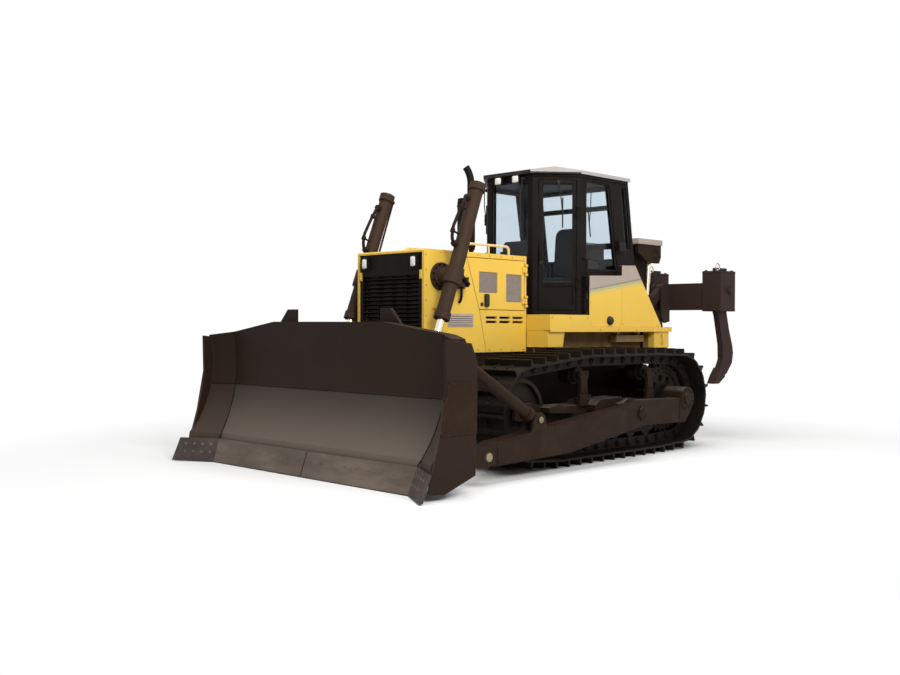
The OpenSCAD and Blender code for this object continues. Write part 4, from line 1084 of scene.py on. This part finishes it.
@piece("chassis", "plastic")
def cab_wipers(bm):
    """Wipers of the windscreen and of the rear window."""
    z = WINDOW_TOP + 32
    wiper(bm, at(CAB_FRONT, 215, z), AHEAD, -UP, -LEFT, 0.46)
    wiper(bm, at(rear_at(z), 150, z), -AHEAD, Vector((-0.15, 0, -1)).normalized(), -LEFT, 0.40)


@pair("cab_door", "plastic")
def door_fittings(bm, side):
    """The door's wiper, and its latch button."""
    corner = on_wall(0, 0, 0, side)
    out, along = on_wall(0, 1000, 0, side) - corner, on_wall(1000, 0, 0, side) - corner
    wiper(bm, on_wall(sum(PANE_X) / 2, 0, PANE_Z[1] + 18, side), out, -UP, along, 0.36)
    button = [(-0.028, 0.016), (0.004, 0.016), (0.008, 0.010)]
    lathe(bm, on_wall(90, 28, 2130, side), out, button, 16)


@both("chassis", "black")
def cab_handles(bm, side):
    """A bent black grab rail on the post behind each door, and drip rails over the doors."""
    rail = ((1128, -4, 2190), (1128, 52, 2170), (1136, 56, 1960), (1136, 56, 1850), (1136, -4, 1830))
    sweep(bm, bent([at(x, side * (CAB_Y + dy), z) for x, dy, z in rail], 0.03), 0.012)
    for x, _, z in (rail[0], rail[-1]):
        lathe(bm, at(x, side * CAB_Y, z), outward(side), [(-0.003, 0.022), (0.006, 0.022)], 16)
    z = CAB_TOP - 30
    corners = (on_wall(-10, 6, z, side), on_wall(WALL_LEN, 6, z, side), at(300, side * (CAB_Y + 6), z))
    bead(bm, 0.008, *corners)


@both("chassis", "plastic")
def post_boxes(bm, side):
    """Ribbed cover on the box behind each side window."""
    y = side * (CAB_Y + 60)
    for x in range(408, 518, 22):
        box(bm, at(x, y - side * 2, 2300), at(x + 10, y + side * 7, 2400), 0.002)


@piece("chassis", "black")
def rear_bar(bm):
    """Cross bar inside the rear window, with its end brackets."""
    x, end = rear_at(2840) + 62, 600
    box(bm, at(x, -end, 2808), at(x + 26, end, 2868), 0.006)
    for y in (-end, end):
        box(bm, at(x - 12, y - 22, 2796), at(x + 30, y + 22, 2880), 0.004)


@piece("chassis", "plastic")
def cab_controls(bm):
    """Arm pads, lever boots and grips on the side consoles, and the instrument pod in front."""
    rest = [(0, 1.0), (0.03, 1.0), (0.042, 0.9), (0.046, 0.6)]
    boot = [(0, 0.050), (0.012, 0.042), (0.024, 0.046), (0.036, 0.032), (0.048, 0.034), (0.06, 0.018)]
    grip = [(0.10, 0.018), (0.115, 0.026), (0.16, 0.030), (0.20, 0.027), (0.225, 0.022), (0.235, 0.010)]
    for side in SIDES:
        pad(bm, at(650, side * 400, 2145), AHEAD * 0.16, LEFT * 0.062, rest, 5)
        lever = at(880, side * 400, 2145)
        lathe(bm, lever, UP, boot)
        lathe(bm, lever, UP, grip, 20)
    pod = ((1270, 2285), (1450, 2285), (1450, 2350), (1400, 2400), (1300, 2330))
    slab(bm, [at(x, -200, z) for x, z in pod], LEFT * 0.4)


# Seat

SEAT_LEAN = Vector((-50, 0, 630)).normalized()
BASE_FOOT, BASE_OUT = at(680, 0, SEAT_LOW), UP
BACK_FOOT, BACK_OUT = at(410, 0, SEAT_TOP + 318), LEFT.cross(SEAT_LEAN)


def seat_pad(bm, foot, across, along, thick):
    """A closed pad with soft corners, made a little small because it swells later."""
    levels = [(0, 0.94), (0.12, 0.985), (0.4, 1.0), (0.7, 0.985), (0.9, 0.93), (1.0, 0.82), (1.03, 0.4)]
    pad(bm, foot, across, along, [(h * thick, s) for h, s in levels], 5, 56)


def evaluated(obj):
    """A mesh of the object with its modifiers applied."""
    return bpy.data.meshes.new_from_object(obj.evaluated_get(bpy.context.evaluated_depsgraph_get()))


def puff(obj, foot, out, voxel=0.006, pressure=4, frames=20, cap=0.015):
    """Swell a pad with cloth pressure: no point moves over the cap, or behind the plane it rests on."""
    remesh = obj.modifiers.new("remesh", "REMESH")
    remesh.mode, remesh.voxel_size, remesh.use_smooth_shade = "VOXEL", voxel, True
    obj.data = evaluated(obj)
    obj.modifiers.clear()
    cloth = obj.modifiers.new("cloth", "CLOTH")
    cloth.settings.use_pressure = True
    cloth.settings.uniform_pressure_force = pressure
    cloth.settings.effector_weights.gravity = 0
    cloth.point_cache.frame_end = frames
    for number in range(1, frames + 1):
        bpy.context.scene.frame_set(number)
    swollen = evaluated(obj)
    obj.modifiers.clear()
    bpy.context.scene.frame_set(1)
    for point, target in zip(obj.data.vertices, swollen.vertices):
        move = target.co - point.co
        move *= min(1.0, cap / max(move.length, 1e-9))
        move -= out * min(0.0, (point.co + move - foot).dot(out))
        point.co += move
    bpy.data.meshes.remove(swollen)
    obj.modifiers.new("smooth", "SUBSURF").levels = 1


def sewn(obj, start, end, out, steps=30):
    """A path laid on a pad from start to end, points that miss the pad left out."""
    casts = (obj.ray_cast(start.lerp(end, k / steps) + out * 0.5, -out) for k in range(steps + 1))
    return [spot for hit, spot, _, _ in casts if hit]


@piece("chassis", "cloth", 60)
def seat_cushion(bm):
    seat_pad(bm, BASE_FOOT, AHEAD * 0.236, LEFT * 0.246, 0.115)


puff(seat_cushion, BASE_FOOT, BASE_OUT)


@piece("chassis", "cloth", 60)
def seat_backrest(bm):
    seat_pad(bm, BACK_FOOT, LEFT * 0.236, SEAT_LEAN * 0.300, 0.085)


puff(seat_backrest, BACK_FOOT, BACK_OUT)


@piece("chassis", "rubber")
def seat_pedestal(bm):
    """Pedestal with a bellows skirt, and the bent posts of the arm rests."""
    for k in range(7):
        z, inset = CAB_FLOOR + k * 38, 8 * (k % 2)
        box(bm, at(480 + inset, -200 + inset, z), at(800 - inset, 200 - inset, z + 39), 0.008)
    for side in SIDES:
        post = [at(x, side * 268, z) for x, z in ((500, 1900), (500, 2150), (560, 2180))]
        sweep(bm, bent(post, 0.03), 0.014)


@piece("chassis", "plastic")
def seat_piping(bm):
    """Piping in the sewn channels: three across the cushion, three across the back."""
    across = LEFT * 0.215
    for k in (-1, 0, 1):
        spot = BASE_FOOT + AHEAD * (0.12 * k)
        bead(bm, 0.006, *sewn(seat_cushion, spot - across, spot + across, BASE_OUT))
        spot = BACK_FOOT + SEAT_LEAN * (0.15 * k)
        bead(bm, 0.006, *sewn(seat_backrest, spot - across, spot + across, BACK_OUT))


for part in (seat_cushion, seat_backrest, seat_pedestal):
    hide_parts("seat")


# Deck and side panels


@both("chassis", "yellow")
def deck_trim(bm, side):
    """Bolts along the deck's rims, and the latch on the rear skirt."""
    spots = [(x, 1525) for x in range(1190, 1840, 310)] + [(x, 1392) for x in range(-450, 1120, 350)]
    for x, z in spots:
        bolt(bm, at(x, side * DECK_Y, z), outward(side), 0.009, 0.008)
    hook = ((801, 1330), (822, 1320), (822, 1230), (801, 1215))
    sweep(bm, bent([at(-330, side * y, z) for y, z in hook], 0.015), 0.010)


@both("chassis", "rubber")
def deck_tread(bm, side):
    """Grip strips on the ledges in front of the doors."""
    for y in range(590, 838, 62):
        box(bm, at(1190, side * y, 1549), at(1800, side * (y + 34), 1554), 0.002)


@both("chassis", "yellow")
def ledge_front(bm, side):
    """Folded sheet that closes the front under each ledge, between the hood and the outer panel."""
    slab(bm, [at(1847, side * y, z) for y, z in rect(508, 750, 1200, 1378)], AHEAD * 0.004)
    bead(bm, 0.005, at(1848, side * 510, 1201), at(1848, side * 748, 1201))


@piece("chassis", "plastic")
def side_fittings(bm):
    """Round black cap on the left panel, and hinge covers on both panels."""
    cap = [(0, 0.052), (0.010, 0.052), (0.014, 0.044), (0.030, 0.042), (0.038, 0.034), (0.040, 0.016)]
    lathe(bm, at(739, TANK_OUT, 1490), LEFT, cap, 32)
    for y in (770, -770):
        for z in (1530, 1730):
            disc(bm, at(1124, y, z), UP, 0.06, 0.009, 12)


@both("chassis", "yellow")
def panel_seams(bm, side):
    """Seam lines and bolts of the side panels' covers."""
    y = side * (TANK_OUT + 0.5)
    sweep(bm, [at(500, y, 2010), at(500, y, 1432)], 0.0025, 6)
    low = [(x, 1450) for x in (1090, 530, 470, -240)]
    for x, z in low + [(1090, 1700), (470, 2100), (250, 2100)]:
        bolt(bm, at(x, side * TANK_OUT, z), outward(side), 0.008, 0.007)


# Ripper


@both("chassis", "pale")
def tower_top_highlights(bm, side):
    """Pale plates over the tops of the tower's two heads: a painted highlight where light falls on top."""
    box(bm, at(-714, side * 321, 2438), at(-186, side * 559, 2506))


@both("chassis", "brown")
def tower_bolts(bm, side):
    """Bolts on the tower's base plate and heads."""
    for y, z in [(505, z) for z in range(1000, 1340, 80)] + [(400, 740), (400, 800)]:
        bolt(bm, at(-200, side * y, z), -AHEAD, 0.016, 0.016)
    bolt_ring(bm, at(JACK_HIGH[0], side * 545, JACK_HIGH[1]), outward(side), 0.050, 6, 0.011)


@piece("ripper", "bright")
def shank_rings(bm):
    """Lifting ring in its eye on top of each shank box."""
    x, radius = BOX_X[1] - 42, 48
    eye = [(0, 0.020), (0.010, 0.020), (0.012, 0.012), (0.02, 0.012)]
    for y in (shank + 62 for shank in SHANK_Y):
        ring = [(x + radius * math.cos(a), BOX_TOP + 44 + radius * math.sin(a)) for a in turns(20)]
        sweep(bm, [at(rx, y, rz) for rx, rz in ring], 0.007, 8, True)
        lathe(bm, at(x, y, BOX_TOP - 2), UP, eye, 14)


@piece("ripper", "ripper")
def shank_boxes(bm):
    """Weld beads, lid bolts and pin ends of the shank boxes."""
    pin_end = [(-0.002, 0.030), (0.008, 0.030), (0.012, 0.022)]
    for y in SHANK_Y:
        for z in (1640, 2110):
            bead_round(bm, 0.006, [at(x, y + dy, z) for x, dy in rect(*BOX_X, -130, 130)])
        for x in (BOX_X[0] + 30, BOX_X[1] - 30):
            for dy in (-95, 95):
                bolt(bm, at(x, y + dy, BOX_TOP), UP, 0.016, 0.014)
        for side in SIDES:
            lathe(bm, at(-1370, y + side * 156, 1880), outward(side), pin_end, 20)


@both("ripper_barrels", "brown")
def jack_pipes(bm, side):
    """Oil pipe down each ripper cylinder, with its two ports."""
    span = Vector((JACK_HIGH[0] - JACK_LOW[0], 0, JACK_HIGH[1] - JACK_LOW[1])).normalized()
    back = Vector((-span.z, 0, span.x))
    foot = at(JACK_LOW[0], side * JACK_Y, JACK_LOW[1])
    route = ((0.13, 0.05), (0.13, 0.085), (0.60, 0.085), (0.60, 0.05))
    sweep(bm, bent([foot + span * a + back * b for a, b in route], 0.02), 0.011)
    for a in (0.13, 0.60):
        disc(bm, foot + span * a + back * 0.055, back, 0.016, 0.020, 14)
    bolt_ring(bm, foot + span * 0.705, span, 0.050, 8, 0.008)
